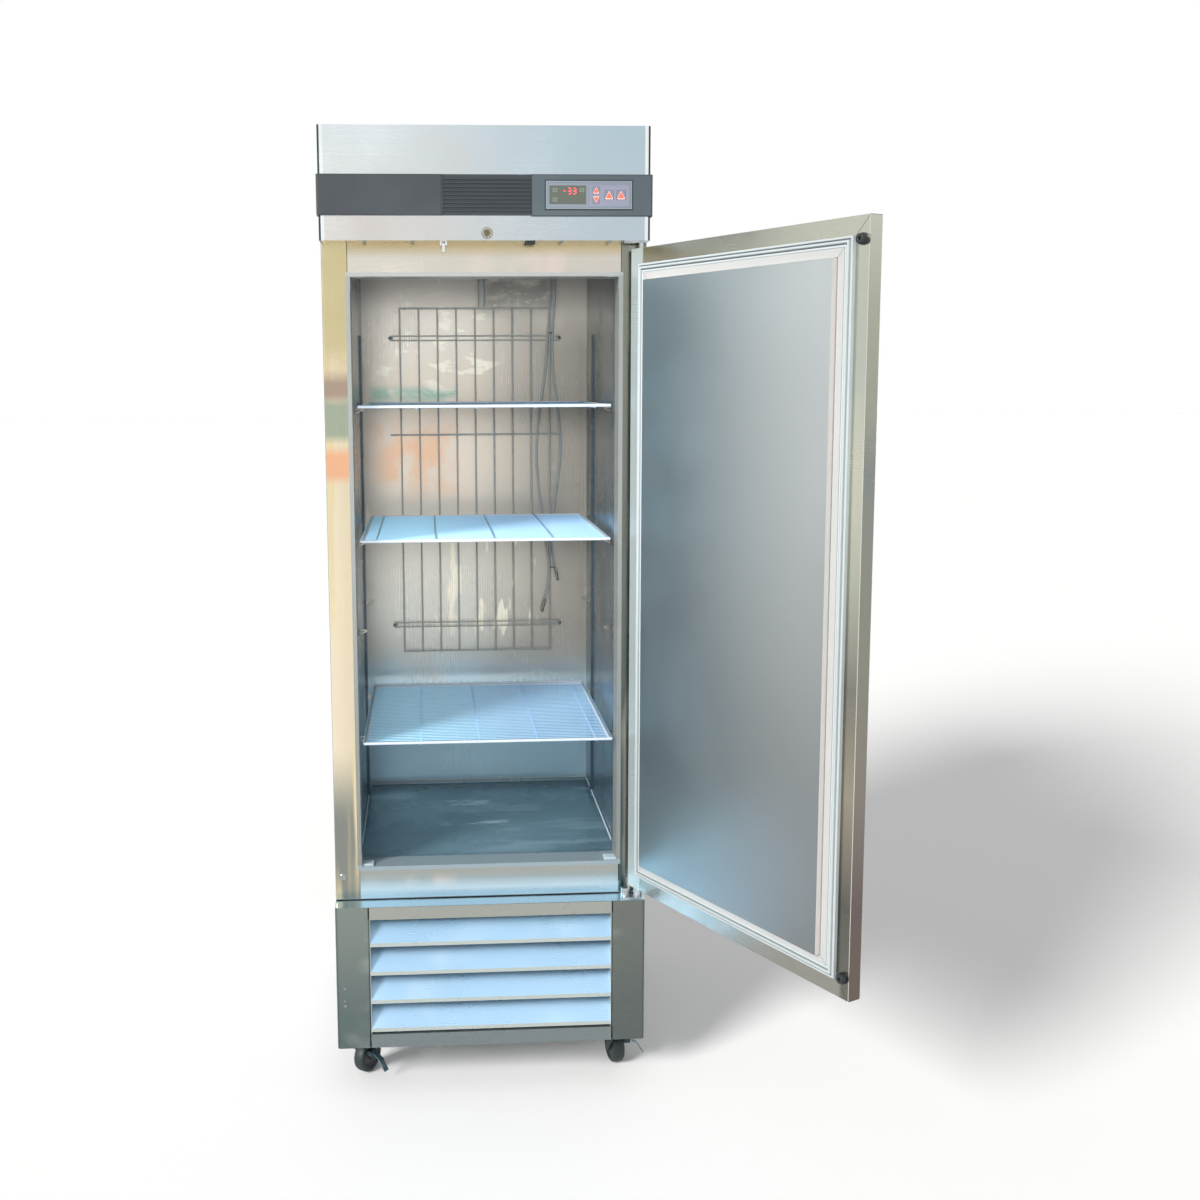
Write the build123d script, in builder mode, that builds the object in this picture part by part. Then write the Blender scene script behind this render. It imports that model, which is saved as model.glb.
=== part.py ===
from build123d import *
import math
import os

# Laboratory freezer: an upright single-door cabinet on casters, with its door standing open.
# Sizes are in millimetres. +X is to the right, +Y goes into the cabinet, +Z is up.
# The origin is on the floor, under the middle of the cabinet's footprint.
# Each piece is written in its place, with the door at OPEN_ANGLE from closed.

# Cabinet
CABINET_WIDTH = 686.0
CABINET_DEPTH = 704.0
CASTER_HEIGHT = 112.0
BASE_HEIGHT = 326.0
BOX_HEIGHT = 1660.0
SEAM = 2.0
STEEL = 1.2
LINER = 1.0
BEND = 3.0
RETURN = 14.0
FIT = 0.3
STILE_WIDTH = 54.5
SILL_HEIGHT = 70.5
HEADER_HEIGHT = 296.0
SIDE_INSULATION = 51.0
REAR_INSULATION = 54.0
TOP_INSULATION = 65.0
FLOOR_INSULATION = 65.4
FLOOR_UPSTAND = 15.0

# Plastic breaker strips round the opening
BREAKER_DEPTH = 60.0
BREAKER_WALL = 4.0
BREAKER_LIP = 4.5
BREAKER_PROUD = 1.0
BREAKER_FLANGE = 1.5
CORNER_LEG = 28.0
CORNER_SKIN = 0.9

# Shelves, and the strips and clips that hold them
SHELF_REAR_GAP = 25.0
SHELF_SIDE_GAP = 1.2
SHELF_WIRE = 6.0
SHELF_CORNER = 8.0
SHELF_BAR = 4.4
BAR_COUNT = 4
BAR_SPACING = 130.0
BAR_INSET = 42.0
GRID_WIRE = 2.4
GRID_PITCH = 13.6
STUB_PITCH = 18.4
STUB_RISE = 9.0
SHELF_RISES = {"lower": 285.6, "middle": 728.1, "upper": 1021.6}
SHELF_SETBACKS = {"lower": 9.0, "middle": 55.0, "upper": 55.0}
SPARE_CLIP_RISE = 526.6
PILASTER_WIDTH = 22.0
PILASTER_DEPTH = 5.0
PILASTER_HEIGHT = 1176.0
PILASTER_PLATE = 1.0
FRONT_PILASTER = 95.0
REAR_PILASTER = 130.0
SLOT_PITCH = 203.2
SLOT_SIZE = (7.0, 14.0)
CLIP_WIRE = 2.8
CLIP_REACH = 20.0
CLIP_DROP = 11.0

# Wire guard on the back wall
GUARD_STANDOFF = 12.0
GUARD_WIRE = 3.0
GUARD_RAIL = 4.0
GUARD_PITCH = 48.4
GUARD_COUNT = 9
GUARD_RISE = 368.6
GUARD_HEIGHT = 897.0
GUARD_MIDDLE_RAIL = 571.0
GUARD_LONG_REACH = 221.0
GUARD_SCREW_RAILS = (70.5, 819.5)
GUARD_SCREW_X = 218.0
GUARD_EYE_RADIUS = 7.0
GUARD_SCREW_HEAD = 4.5
GUARD_SCREW_RADIUS = 2.5
EYE_SIDES = 8
SCREW_SIDES = 6

# Probe leads tied to the guard
LEAD_WIRE = 4.0
LEAD_SIDES = 5
LEAD_GAP = 1.6
ARC_SHARE = 0.45
BULB_LENGTH = 36.0
BULB_WIRE = 7.0
BULB_SIDES = 6
TIE_HEIGHT = 5.0
TIE_WALL = 1.0

# Evaporator in the top of the cavity
EVAP_SIDE_GAP = 22.0
EVAP_FRONT = 150.0
EVAP_HEIGHT = 155.0
EVAP_FAN_RADIUS = 60.0
EVAP_FAN_INSET = 22.0
AIR_SLOT_COUNT = 4
AIR_SLOT_WIDTH = 30.0
AIR_SLOT_LAND = 20.0
AIR_SLOT_INSET = 40.0
COIL_SIDE_GAP = 35.0
COIL_DEPTH = 160.0
COIL_HEIGHT = 118.0
COIL_FRONT = 190.0
FIN_COUNT = 20
FIN_PLATE = 1.6
HEADER_PLATE = 3.0
DRAIN_WIRE = 18.0
DRAIN_WALL = 2.0
DRAIN_X = 18.0
DRAIN_DROP = 106.0
DRAIN_SIDES = 12

# Fans and their motors
FAN_TIP_GAP = 4.0
FAN_DEPTH = 26.0
FAN_CHORD = 30.0
FAN_PLATE = 1.6
FAN_PITCH = 38.0
HUB_SIDES = 16
EVAP_FAN_HUB = 18.0
EVAP_FAN_BLADES = 5
SHAFT_RADIUS = 3.0
SHAFT_CLEARANCE = 0.08
MOTOR_GAP = 4.0
MOTOR_LENGTH = 46.0
EVAP_MOTOR_RADIUS = 24.0
FOOT_WIDTH = 30.0
FOOT_PLATE = 5.0

# Hood over the door
HOOD_HEIGHT = 230.5
FRONT_PROUD = 45.5
HOOD_BEND = 6.0
BAND_HEIGHT = 82.5
BAND_BOTTOM = 50.0
BAND_PROUD = 3.4
BAND_WRAP = 26.0
BAND_CORNER = 4.0
CAP_WIDTH = 255.0
RIB_PITCH = 8.0
RIB_COUNT = 9
RIB_PROUD = 2.2
RIB_BASE = 1.2
RIB_FOOT = 5.6
RIB_CREST = 2.4
CONTROL_WIDTH = 248.0
CONTROL_PROUD = 4.0
CONTROL_BEND = 5.0
CONTROL_RISE = 1.6
DISPLAY_WIDTH = 178.0
DISPLAY_HEIGHT = 56.0
DISPLAY_INSET = 40.0
DISPLAY_LEVEL = 91.0
DISPLAY_PROUD = 1.4
WINDOW_SIZE = (75.5, 37.0)
WINDOW_X = -44.2
KEY_FIELD_SIZE = (81.0, 42.0)
KEY_FIELD_X = 41.8
RECESS = 0.6
KEY_GAP = 0.4
KEY_THICKNESS = 3.0
KEY_PROUD = 0.7
# each key's name, centre from the display's centre, and side
KEYS = {
    "key_up": (14.8, 9.6, 14.0),
    "key_down": (14.8, -9.6, 14.0),
    "key_left": (41.6, 0.0, 18.0),
    "key_right": (66.5, 0.0, 18.0),
}
LOCK_X = 3.0
LOCK_LEVEL = 15.0
LOCK_RADIUS = 9.5
LOCK_FLANGE = 11.2
LOCK_FLANGE_PLATE = 3.0
LOCK_LENGTH = 24.0
PLUG_RADIUS = 7.0
PLUG_CLEARANCE = 0.08
PLUG_PROUD = 0.6
KEYWAY = (1.8, 8.0)
KEYWAY_DEPTH = 8.0
CAM_LENGTH = 22.0
CAM_WIDTH = 9.0
CAM_PLATE = 2.0
CAM_GAP = 0.5
SWITCH_X = -87.0
SWITCH_WIDTH = 15.0
SWITCH_HEIGHT = 7.0
SWITCH_DEPTH = 12.0
SWITCH_BEFORE_FACE = 6.5
SWITCH_PIN = 1.5
SWITCH_CLEARANCE = 0.08
SWITCH_PIN_BITE = 0.3
LEVER_LENGTH = 16.0
LEVER_WIDTH = 6.0
LEVER_PLATE = 2.4
LEVER_BARREL = 2.9
BARREL_SIDES = 10

# Door
DOOR_SIDE_GAP = 3.0
DOOR_TOP_GAP = 15.7
DOOR_BOTTOM_GAP = 27.0
DOOR_EDGE = 29.6
DOOR_BEND = 4.0
OPEN_ANGLE = 117.3
GASKET_MARGIN = 33.0
GASKET_WIDTH = 18.0
GASKET_HEIGHT = 11.0
GASKET_BASE = 6.5
GASKET_GAP = 0.4
GASKET_RIBS = 3
RIB_WIDTH = 4.2
TRIM_MARGIN = 51.3
TRIM_LOW = 8.0
TRIM_LAND = 2.0
PLUG_MARGIN = 68.0
PLUG_HEIGHT = 20.0
PAN_FLANGE = 60.0
BUMPER_RADIUS = 10.5
BUMPER_HEIGHT = 10.5
BUMPER_HOLE = 3.0
BUMPER_HOLE_SIDES = 6
BUMPER_INSET = 16.0
BUMPER_FROM_END = 40.0
HANDLE_WIDTH = 46.0
HANDLE_HEIGHT = 170.0
HANDLE_INSET = 58.0
HANDLE_DEPTH = 21.0
HANDLE_FLANGE = 6.0
HANDLE_WALL = 2.0
HANDLE_LEVEL = 640.0
HANDLE_CORNER = 10.0

# Hinges
HINGE_INSET = 13.5
PIN_RADIUS = 4.5
PIN_CLEARANCE = 0.08
PIN_DEPTH = 22.0
SOCKET_WALL = 4.0
SOCKET_DEPTH = 26.0
SOCKET_SIDES = 8
BRACKET_PLATE = 4.0
BRACKET_LENGTH = 48.0
BRACKET_WIDTH = 26.0
BRACKET_CORNER = 6.0
BRACKET_SHIFT = 11.5
COLLAR_RADIUS = 7.5
COLLAR_GAP = 0.4
COLLAR_SIDES = 12
STUD_SPACING = 26.5
STUD_RADIUS = 9.0
STUD_HEIGHT = 19.0

# Base
POST_WIDTH = 75.0
POST_DEPTH = 40.0
POST_BEND = 8.0
SPACER_INSET = 14.0
SPACER_WIDTH = 12.0
VENT_SIZE = (16.0, 130.0)
VENT_PITCH = 34.0
VENT_COUNT = 9
TOP_RAIL = 27.8
BOTTOM_RAIL = 31.0
RAIL_DEPTH = 20.0
BLADE_COUNT = 4
BLADE_LIP = 8.5
BLADE_GAP = 5.0
BLADE_TOP_LAP = 2.6
BLADE_RISE = 58.0
BLADE_RUN = 46.0
BLADE_RETURN = 7.0
BLADE_SETBACK = 2.0
GRILLE_END_DEPTH = 52.0
CHASSIS_PLATE = 2.0
CHASSIS_FLANGE = 22.0
COMPRESSOR_RADIUS = 82.0
COMPRESSOR_HEIGHT = 180.0
COMPRESSOR_DOME = 38.0
COMPRESSOR_FLOOR = 16.0
COMPRESSOR_X = 150.0
COMPRESSOR_Y = 90.0
COMPRESSOR_FOOT = (190.0, 130.0)
COMPRESSOR_FOOT_PLATE = 4.0
GROMMET_INSET = (20.0, 15.0)
GROMMET_SIDES = 8
COMPRESSOR_GRIP = 10.0
COMPRESSOR_TUBE = 5.0
COMPRESSOR_TUBE_RISE = 18.0
CONDENSER_X = -80.0
CONDENSER_WIDTH = 330.0
CONDENSER_HEIGHT = 250.0
CONDENSER_DEPTH = 66.0
CONDENSER_FRONT = 70.0
CONDENSER_FIN_COUNT = 18
CONDENSER_FAN_RADIUS = 104.0
CONDENSER_FAN_HUB = 26.0
CONDENSER_FAN_BLADES = 4
CONDENSER_FAN_GAP = 10.0
CONDENSER_MOTOR_RADIUS = 34.0

# Casters
CASTER_INSET = 45.0
CASTER_FRONT = 50.0
CASTER_REAR = 70.0
WHEEL_RADIUS = 37.5
WHEEL_WIDTH = 27.0
TREAD_EDGE = 3.0
AXLE_RADIUS = 4.0
AXLE_CLEARANCE = 0.08
CASTER_TRAIL = 25.0
FORK_GAP = 1.6
FORK_PLATE = 3.0
FORK_CLEAR = 5.0
FORK_NOSE = 20.0
FORK_TAIL = 34.0
FORK_EYE = 10.0
HEAD_RADIUS = 22.0
HEAD_SIDES = 16
CASTER_MOUNT = 8.0
MOUNT_SIZE = 84.0
MOUNT_GAP = 0.5
STEM_RADIUS = 9.0
STEM_CLEARANCE = 0.08
STEM_END = 4.0
BRAKE_PIN_RADIUS = 2.5
BRAKE_CLEARANCE = 0.08
BRAKE_BARREL = 5.0
BRAKE_OUT = 7.0
BRAKE_LEVEL = 55.0
BRAKE_Y = 12.0
BRAKE_WIDTH = 14.0
BRAKE_EAR = 3.0
BRAKE_EAR_GAP = 0.4
BRAKE_PLATE = 2.4
# the brake arm's outer line, from the pin outwards and down
BRAKE_ARM = ((3.2, 4.6), (25.0, -10.0), (40.0, -34.0))
# each caster's side of the cabinet, its row, and how far it is swivelled
CASTERS = {
    "fl": (-1, "front", -35.0),
    "fr": (1, "front", 12.0),
    "rl": (-1, "rear", 20.0),
    "rr": (1, "rear", -15.0),
}

# Places worked out from the sizes
HALF = CABINET_WIDTH / 2
FACE = -CABINET_DEPTH / 2
REAR = CABINET_DEPTH / 2
HOOD_FRONT = FACE - FRONT_PROUD
BASE_TOP = CASTER_HEIGHT + BASE_HEIGHT
BOX_BOTTOM = BASE_TOP + SEAM
ROOF = BOX_BOTTOM + BOX_HEIGHT
HOOD_BOTTOM = ROOF - HOOD_HEIGHT
OPENING_HALF = HALF - STILE_WIDTH
OPENING_BOTTOM = BOX_BOTTOM + SILL_HEIGHT
OPENING_TOP = ROOF - HEADER_HEIGHT
LINER_HALF = HALF - SIDE_INSULATION
BACK_WALL = REAR - REAR_INSULATION
CAVITY_TOP = ROOF - TOP_INSULATION
CAVITY_FLOOR = BOX_BOTTOM + FLOOR_INSULATION
LINER_FRONT = FACE + BREAKER_DEPTH
THROAT_HALF = OPENING_HALF - FIT - BREAKER_WALL
THROAT_BOTTOM = OPENING_BOTTOM + FIT + BREAKER_WALL
THROAT_TOP = OPENING_TOP - FIT - BREAKER_WALL
DOOR_TOP = HOOD_BOTTOM - DOOR_TOP_GAP
DOOR_BOTTOM = BASE_TOP + DOOR_BOTTOM_GAP
DOOR_WIDTH = CABINET_WIDTH - 2 * DOOR_SIDE_GAP
DOOR_TALL = DOOR_TOP - DOOR_BOTTOM
DOOR_MIDDLE = (DOOR_TOP + DOOR_BOTTOM) / 2
DOOR_INNER = FACE - BREAKER_PROUD - GASKET_HEIGHT - GASKET_GAP
DOOR_OUTER = DOOR_INNER - DOOR_EDGE
HINGE_X = DOOR_WIDTH / 2 - HINGE_INSET
HINGE_Y = (DOOR_INNER + DOOR_OUTER) / 2
HINGE_AXIS = Axis((HINGE_X, HINGE_Y, 0), (0, 0, 1))

os.makedirs("parts", exist_ok=True)


def finish(piece, name):
    """Name a finished piece and write it."""
    piece.label = name
    export_step(piece, f"parts/{name}.step")


def bent_sheet(points, bend, thickness, side):
    """Draw the section of a bent sheet from the corners of its outer line."""
    with BuildLine() as outline:
        FilletPolyline(*points, radius=bend)
        offset(amount=thickness, side=side)
    make_face(outline.edges())


def folded_sheet(points, thickness, side):
    """Draw the section of a sheet with tight folds from the corners of its outer line."""
    with BuildLine() as outline:
        Polyline(*points)
        offset(amount=thickness, kind=Kind.INTERSECTION, side=side)
    make_face(outline.edges())


def block(x, y, z, mode=Mode.ADD):
    """Add or cut a plain block given by its low and high limits along each axis."""
    spans = (x, y, z)
    middle = tuple((low + high) / 2 for low, high in spans)
    with Locations(middle):
        Box(*(high - low for low, high in spans), mode=mode)


def ring(outer, inner, low, height):
    """Add a rectangular ring that lies in the door's plane, from margins off the door's edge."""
    plane = Plane(origin=(0, low, 0), x_dir=(1, 0, 0), z_dir=(0, 1, 0))
    with BuildSketch(plane) as outline:
        with Locations((0, -DOOR_MIDDLE)):
            Rectangle(DOOR_WIDTH - 2 * outer, DOOR_TALL - 2 * outer)
            Rectangle(DOOR_WIDTH - 2 * inner, DOOR_TALL - 2 * inner, mode=Mode.SUBTRACT)
    extrude(outline.sketch, amount=height)


def swing_open(piece):
    """Turn a piece of the closed door to where the open door holds it."""
    return piece.rotate(HINGE_AXIS, OPEN_ANGLE)


# Cabinet shell

with BuildPart() as side_panel_right:
    with BuildSketch(Plane.XY.offset(BOX_BOTTOM + STEEL)) as side_section:
        bent_sheet(
            [(HALF, REAR - STEEL), (HALF, FACE), (OPENING_HALF, FACE), (OPENING_HALF, FACE + RETURN)],
            BEND,
            STEEL,
            Side.RIGHT,
        )
    extrude(amount=BOX_HEIGHT - 2 * STEEL)
finish(side_panel_right.part, "side_panel_right")

with BuildPart() as side_panel_left:
    mirror(side_panel_right.part, about=Plane.YZ)
finish(side_panel_left.part, "side_panel_left")

with BuildPart() as rear_panel:
    block((-HALF, HALF), (REAR - STEEL, REAR), (BOX_BOTTOM + STEEL, ROOF - STEEL))
finish(rear_panel.part, "rear_panel")

with BuildPart() as roof_panel:
    block((-HALF, HALF), (FACE, REAR), (ROOF - STEEL, ROOF))
finish(roof_panel.part, "roof_panel")

with BuildPart() as floor_panel:
    block((-HALF, HALF), (FACE, REAR), (BOX_BOTTOM, BOX_BOTTOM + STEEL))
finish(floor_panel.part, "floor_panel")

RAIL_HALF = OPENING_HALF - FIT
with BuildPart() as front_rails:
    with BuildSketch(Plane.YZ) as rail_sections:
        bent_sheet(
            [(FACE, ROOF - STEEL), (FACE, OPENING_TOP), (FACE + RETURN, OPENING_TOP)],
            BEND,
            STEEL,
            Side.LEFT,
        )
        bent_sheet(
            [(FACE, BOX_BOTTOM + STEEL), (FACE, OPENING_BOTTOM), (FACE + RETURN, OPENING_BOTTOM)],
            BEND,
            STEEL,
            Side.RIGHT,
        )
    extrude(amount=RAIL_HALF, both=True)
finish(front_rails.part, "front_rails")

FLANGE_HALF = LINER_HALF
FLANGE_TOP = THROAT_TOP + LINER_HALF - THROAT_HALF
with BuildPart() as cabinet_foam:
    block(
        (-HALF + STEEL, HALF - STEEL),
        (FACE + RETURN, REAR - STEEL),
        (BOX_BOTTOM + STEEL, ROOF - STEEL),
    )
    block(
        (-LINER_HALF - LINER, LINER_HALF + LINER),
        (LINER_FRONT, BACK_WALL + LINER),
        (CAVITY_FLOOR - LINER, CAVITY_TOP + LINER),
        Mode.SUBTRACT,
    )
    block(
        (-OPENING_HALF - STEEL, OPENING_HALF + STEEL),
        (FACE, LINER_FRONT),
        (OPENING_BOTTOM - STEEL, OPENING_TOP + STEEL),
        Mode.SUBTRACT,
    )
    block(
        (-FLANGE_HALF, FLANGE_HALF),
        (LINER_FRONT - BREAKER_FLANGE, LINER_FRONT),
        (CAVITY_FLOOR, FLANGE_TOP),
        Mode.SUBTRACT,
    )
finish(cabinet_foam.part, "cabinet_foam")

# Inner liner

with BuildPart() as liner_sides:
    for side in (-1, 1):
        inner, outer = sorted((side * LINER_HALF, side * (LINER_HALF + LINER)))
        block(
            (inner, outer),
            (LINER_FRONT, BACK_WALL + LINER),
            (CAVITY_FLOOR - LINER, CAVITY_TOP + LINER),
        )
finish(liner_sides.part, "liner_sides")

with BuildPart() as liner_rear:
    block(
        (-LINER_HALF, LINER_HALF),
        (BACK_WALL, BACK_WALL + LINER),
        (CAVITY_FLOOR - LINER, CAVITY_TOP + LINER),
    )
finish(liner_rear.part, "liner_rear")

with BuildPart() as liner_ceiling:
    with BuildSketch(Plane.YZ) as ceiling_section:
        bent_sheet(
            [
                (BACK_WALL, CAVITY_TOP),
                (LINER_FRONT + LINER, CAVITY_TOP),
                (LINER_FRONT + LINER, THROAT_TOP),
            ],
            BEND,
            LINER,
            Side.RIGHT,
        )
    extrude(amount=LINER_HALF, both=True)
finish(liner_ceiling.part, "liner_ceiling")

with BuildPart() as liner_floor:
    with BuildSketch(Plane.YZ) as floor_section:
        bent_sheet(
            [
                (LINER_FRONT, CAVITY_FLOOR),
                (BACK_WALL - LINER, CAVITY_FLOOR),
                (BACK_WALL - LINER, CAVITY_FLOOR + FLOOR_UPSTAND),
            ],
            BEND,
            LINER,
            Side.RIGHT,
        )
    extrude(amount=LINER_HALF, both=True)
finish(liner_floor.part, "liner_floor")

with BuildPart() as breaker_frame:
    LIP_HALF = OPENING_HALF + BREAKER_LIP
    block(
        (-LIP_HALF, LIP_HALF),
        (FACE - BREAKER_PROUD, FACE),
        (OPENING_BOTTOM - BREAKER_LIP, OPENING_TOP + BREAKER_LIP),
    )
    block(
        (-OPENING_HALF + FIT, OPENING_HALF - FIT),
        (FACE, LINER_FRONT),
        (OPENING_BOTTOM + FIT, OPENING_TOP - FIT),
    )
    block(
        (-FLANGE_HALF, FLANGE_HALF),
        (LINER_FRONT - BREAKER_FLANGE, LINER_FRONT),
        (CAVITY_FLOOR, FLANGE_TOP),
    )
    block(
        (-THROAT_HALF, THROAT_HALF),
        (FACE - BREAKER_PROUD, LINER_FRONT),
        (THROAT_BOTTOM, THROAT_TOP),
        Mode.SUBTRACT,
    )
    for side in (-1, 1):
        for level, lean in ((THROAT_BOTTOM, 1), (THROAT_TOP, -1)):
            along = sorted((side * THROAT_HALF, side * (THROAT_HALF - CORNER_LEG)))
            across = sorted((side * THROAT_HALF, side * (THROAT_HALF - CORNER_SKIN)))
            skin = sorted((level, level + lean * CORNER_SKIN))
            upright = sorted((level, level + lean * CORNER_LEG))
            block(along, (FACE - BREAKER_PROUD, LINER_FRONT), skin)
            block(across, (FACE - BREAKER_PROUD, LINER_FRONT), upright)
finish(breaker_frame.part, "breaker_frame")

# Shelf strips, clips and shelves

PILASTER_BOTTOM = CAVITY_FLOOR + FLOOR_UPSTAND
PILASTER_FACE = LINER_HALF - PILASTER_DEPTH
FRONT_PILASTER_Y = FACE + FRONT_PILASTER
REAR_PILASTER_Y = BACK_WALL - REAR_PILASTER
SLOT_COUNT = int((PILASTER_HEIGHT - SLOT_PITCH) // SLOT_PITCH)
with BuildPart() as pilaster:
    with BuildSketch(Plane.XY.offset(PILASTER_BOTTOM)) as channel:
        with Locations((LINER_HALF - PILASTER_DEPTH / 2, 0)):
            Rectangle(PILASTER_DEPTH, PILASTER_WIDTH)
        with Locations((LINER_HALF - (PILASTER_DEPTH - PILASTER_PLATE) / 2, 0)):
            Rectangle(
                PILASTER_DEPTH - PILASTER_PLATE,
                PILASTER_WIDTH - 2 * PILASTER_PLATE,
                mode=Mode.SUBTRACT,
            )
    extrude(amount=PILASTER_HEIGHT)
    slot_plane = Plane(
        origin=(PILASTER_FACE, 0, PILASTER_BOTTOM + PILASTER_HEIGHT / 2),
        x_dir=(0, 1, 0),
        z_dir=(1, 0, 0),
    )
    with BuildSketch(slot_plane) as slots:
        with GridLocations(SLOT_PITCH, SLOT_PITCH, 1, SLOT_COUNT):
            Rectangle(*SLOT_SIZE)
    extrude(amount=PILASTER_PLATE, mode=Mode.SUBTRACT)

with BuildPart() as shelf_pilasters:
    with Locations((0, FRONT_PILASTER_Y, 0), (0, REAR_PILASTER_Y, 0)):
        add(pilaster.part)
    mirror(about=Plane.YZ)
finish(shelf_pilasters.part, "shelf_pilasters")

with BuildPart() as clip:
    with BuildSketch(Plane.XZ) as clip_side:
        Polygon(
            (PILASTER_FACE, 0),
            (PILASTER_FACE - CLIP_REACH, 0),
            (PILASTER_FACE - CLIP_REACH, -CLIP_DROP / 2),
            (PILASTER_FACE, -CLIP_DROP - CLIP_WIRE),
            align=None,
        )
        offset(amount=-CLIP_WIRE, kind=Kind.INTERSECTION, mode=Mode.SUBTRACT)
    extrude(amount=CLIP_WIRE / 2, both=True)

SHELF_LEVELS = {name: CAVITY_FLOOR + rise for name, rise in SHELF_RISES.items()}
CLIP_LEVELS = [level - SHELF_WIRE / 2 - FIT for level in SHELF_LEVELS.values()]
CLIP_LEVELS.append(CAVITY_FLOOR + SPARE_CLIP_RISE)
with BuildPart() as shelf_clips:
    for level in CLIP_LEVELS:
        with Locations((0, FRONT_PILASTER_Y, level), (0, REAR_PILASTER_Y, level)):
            add(clip.part)
    mirror(about=Plane.YZ)
finish(shelf_clips.part, "shelf_clips")

# One shelf is a frame loop with bars under it, cross wires laid over the bars,
# and on the lower shelf a raised ladder of short wires along the rear edge.
SHELF_HALF = THROAT_HALF - SHELF_SIDE_GAP
SHELF_DEPTH = BACK_WALL - SHELF_REAR_GAP - FACE - max(SHELF_SETBACKS.values())
FRAME_X = SHELF_HALF - SHELF_WIRE / 2
FRAME_Y = SHELF_DEPTH / 2 - SHELF_WIRE / 2
BARS_MIDDLE = SHELF_HALF - BAR_INSET - BAR_SPACING * (BAR_COUNT - 1) / 2
GRID_SPAN = SHELF_DEPTH - 3 * SHELF_WIRE
GRID_COUNT = int(GRID_SPAN // GRID_PITCH) + 1
STUB_COUNT = int((2 * FRAME_X - 3 * SHELF_CORNER) // STUB_PITCH) + 1
with BuildPart() as shelf_frame:
    with BuildSketch(Plane.XY.offset(-SHELF_WIRE / 2)) as frame_loop:
        RectangleRounded(2 * FRAME_X + SHELF_WIRE, 2 * FRAME_Y + SHELF_WIRE, SHELF_CORNER)
        Rectangle(2 * FRAME_X - SHELF_WIRE, 2 * FRAME_Y - SHELF_WIRE, mode=Mode.SUBTRACT)
    extrude(amount=SHELF_WIRE)

with BuildPart() as shelf_bars:
    with Locations((BARS_MIDDLE, 0, -(GRID_WIRE + SHELF_BAR) / 2)):
        with GridLocations(BAR_SPACING, 1, BAR_COUNT, 1):
            Box(SHELF_BAR, 2 * FRAME_Y - SHELF_WIRE, SHELF_BAR)

with BuildPart() as shelf_grid:
    with GridLocations(1, GRID_PITCH, 1, GRID_COUNT):
        Box(2 * FRAME_X - SHELF_WIRE, GRID_WIRE, GRID_WIRE)

with BuildPart() as shelf_ladder_rail:
    with Locations((0, FRAME_Y, SHELF_WIRE / 2 + STUB_RISE + SHELF_BAR / 2)):
        Box(2 * FRAME_X - 2 * SHELF_CORNER, SHELF_BAR, SHELF_BAR)

with BuildPart() as shelf_stubs:
    with Locations((0, FRAME_Y, (SHELF_WIRE + STUB_RISE) / 2)):
        with GridLocations(STUB_PITCH, 1, STUB_COUNT, 1):
            Box(GRID_WIRE, GRID_WIRE, STUB_RISE)

plain_wires = [shelf_frame.part, shelf_bars.part, shelf_grid.part]
ladder_wires = [shelf_ladder_rail.part, shelf_stubs.part]
SHELF_WIRES = {
    "lower": plain_wires + ladder_wires,
    "middle": [wire.mirror(Plane.YZ) for wire in plain_wires],
    "upper": plain_wires,
}
for shelf_name, shelf_level in SHELF_LEVELS.items():
    shelf_middle = FACE + SHELF_SETBACKS[shelf_name] + SHELF_DEPTH / 2
    wires = [solid for piece in SHELF_WIRES[shelf_name] for solid in piece.solids()]
    finish(Compound(wires).moved(Location((0, shelf_middle, shelf_level))), f"shelf_{shelf_name}")

# Wire guard and the probe leads in front of it

GUARD_Y = BACK_WALL - GUARD_STANDOFF
GUARD_BOTTOM = CAVITY_FLOOR + GUARD_RISE
GUARD_HALF = GUARD_PITCH * (GUARD_COUNT - 1) / 2
WIRE_Y = GUARD_Y - GUARD_RAIL / 2 - GUARD_WIRE / 2
GUARD_SHORT_REACH = GUARD_HALF + GUARD_WIRE / 2
RAIL_REACHES = {
    0.0: GUARD_SHORT_REACH,
    GUARD_SCREW_RAILS[0]: GUARD_SCREW_X,
    GUARD_MIDDLE_RAIL: GUARD_LONG_REACH,
    GUARD_SCREW_RAILS[1]: GUARD_SCREW_X,
    GUARD_HEIGHT - GUARD_RAIL / 2: GUARD_SHORT_REACH,
}
with BuildPart() as guard_rails:
    for height, reach in RAIL_REACHES.items():
        with Locations((0, GUARD_Y, GUARD_BOTTOM + height)):
            Box(2 * reach, GUARD_RAIL, GUARD_RAIL)
    for height in GUARD_SCREW_RAILS:
        screw_plane = Plane(
            origin=(0, GUARD_Y, GUARD_BOTTOM + height),
            x_dir=(1, 0, 0),
            z_dir=(0, 1, 0),
        )
        with BuildSketch(screw_plane) as eyes:
            with GridLocations(2 * GUARD_SCREW_X, 1, 2, 1):
                RegularPolygon(radius=GUARD_EYE_RADIUS, side_count=EYE_SIDES)
        extrude(amount=GUARD_RAIL / 2, both=True)
        with BuildSketch(screw_plane) as screws:
            with GridLocations(2 * GUARD_SCREW_X, 1, 2, 1):
                RegularPolygon(radius=GUARD_SCREW_RADIUS, side_count=SCREW_SIDES)
        extrude(amount=GUARD_STANDOFF)
        with BuildSketch(screw_plane) as heads:
            with GridLocations(2 * GUARD_SCREW_X, 1, 2, 1):
                RegularPolygon(radius=GUARD_SCREW_HEAD, side_count=SCREW_SIDES)
        extrude(amount=-GUARD_RAIL)

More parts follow.
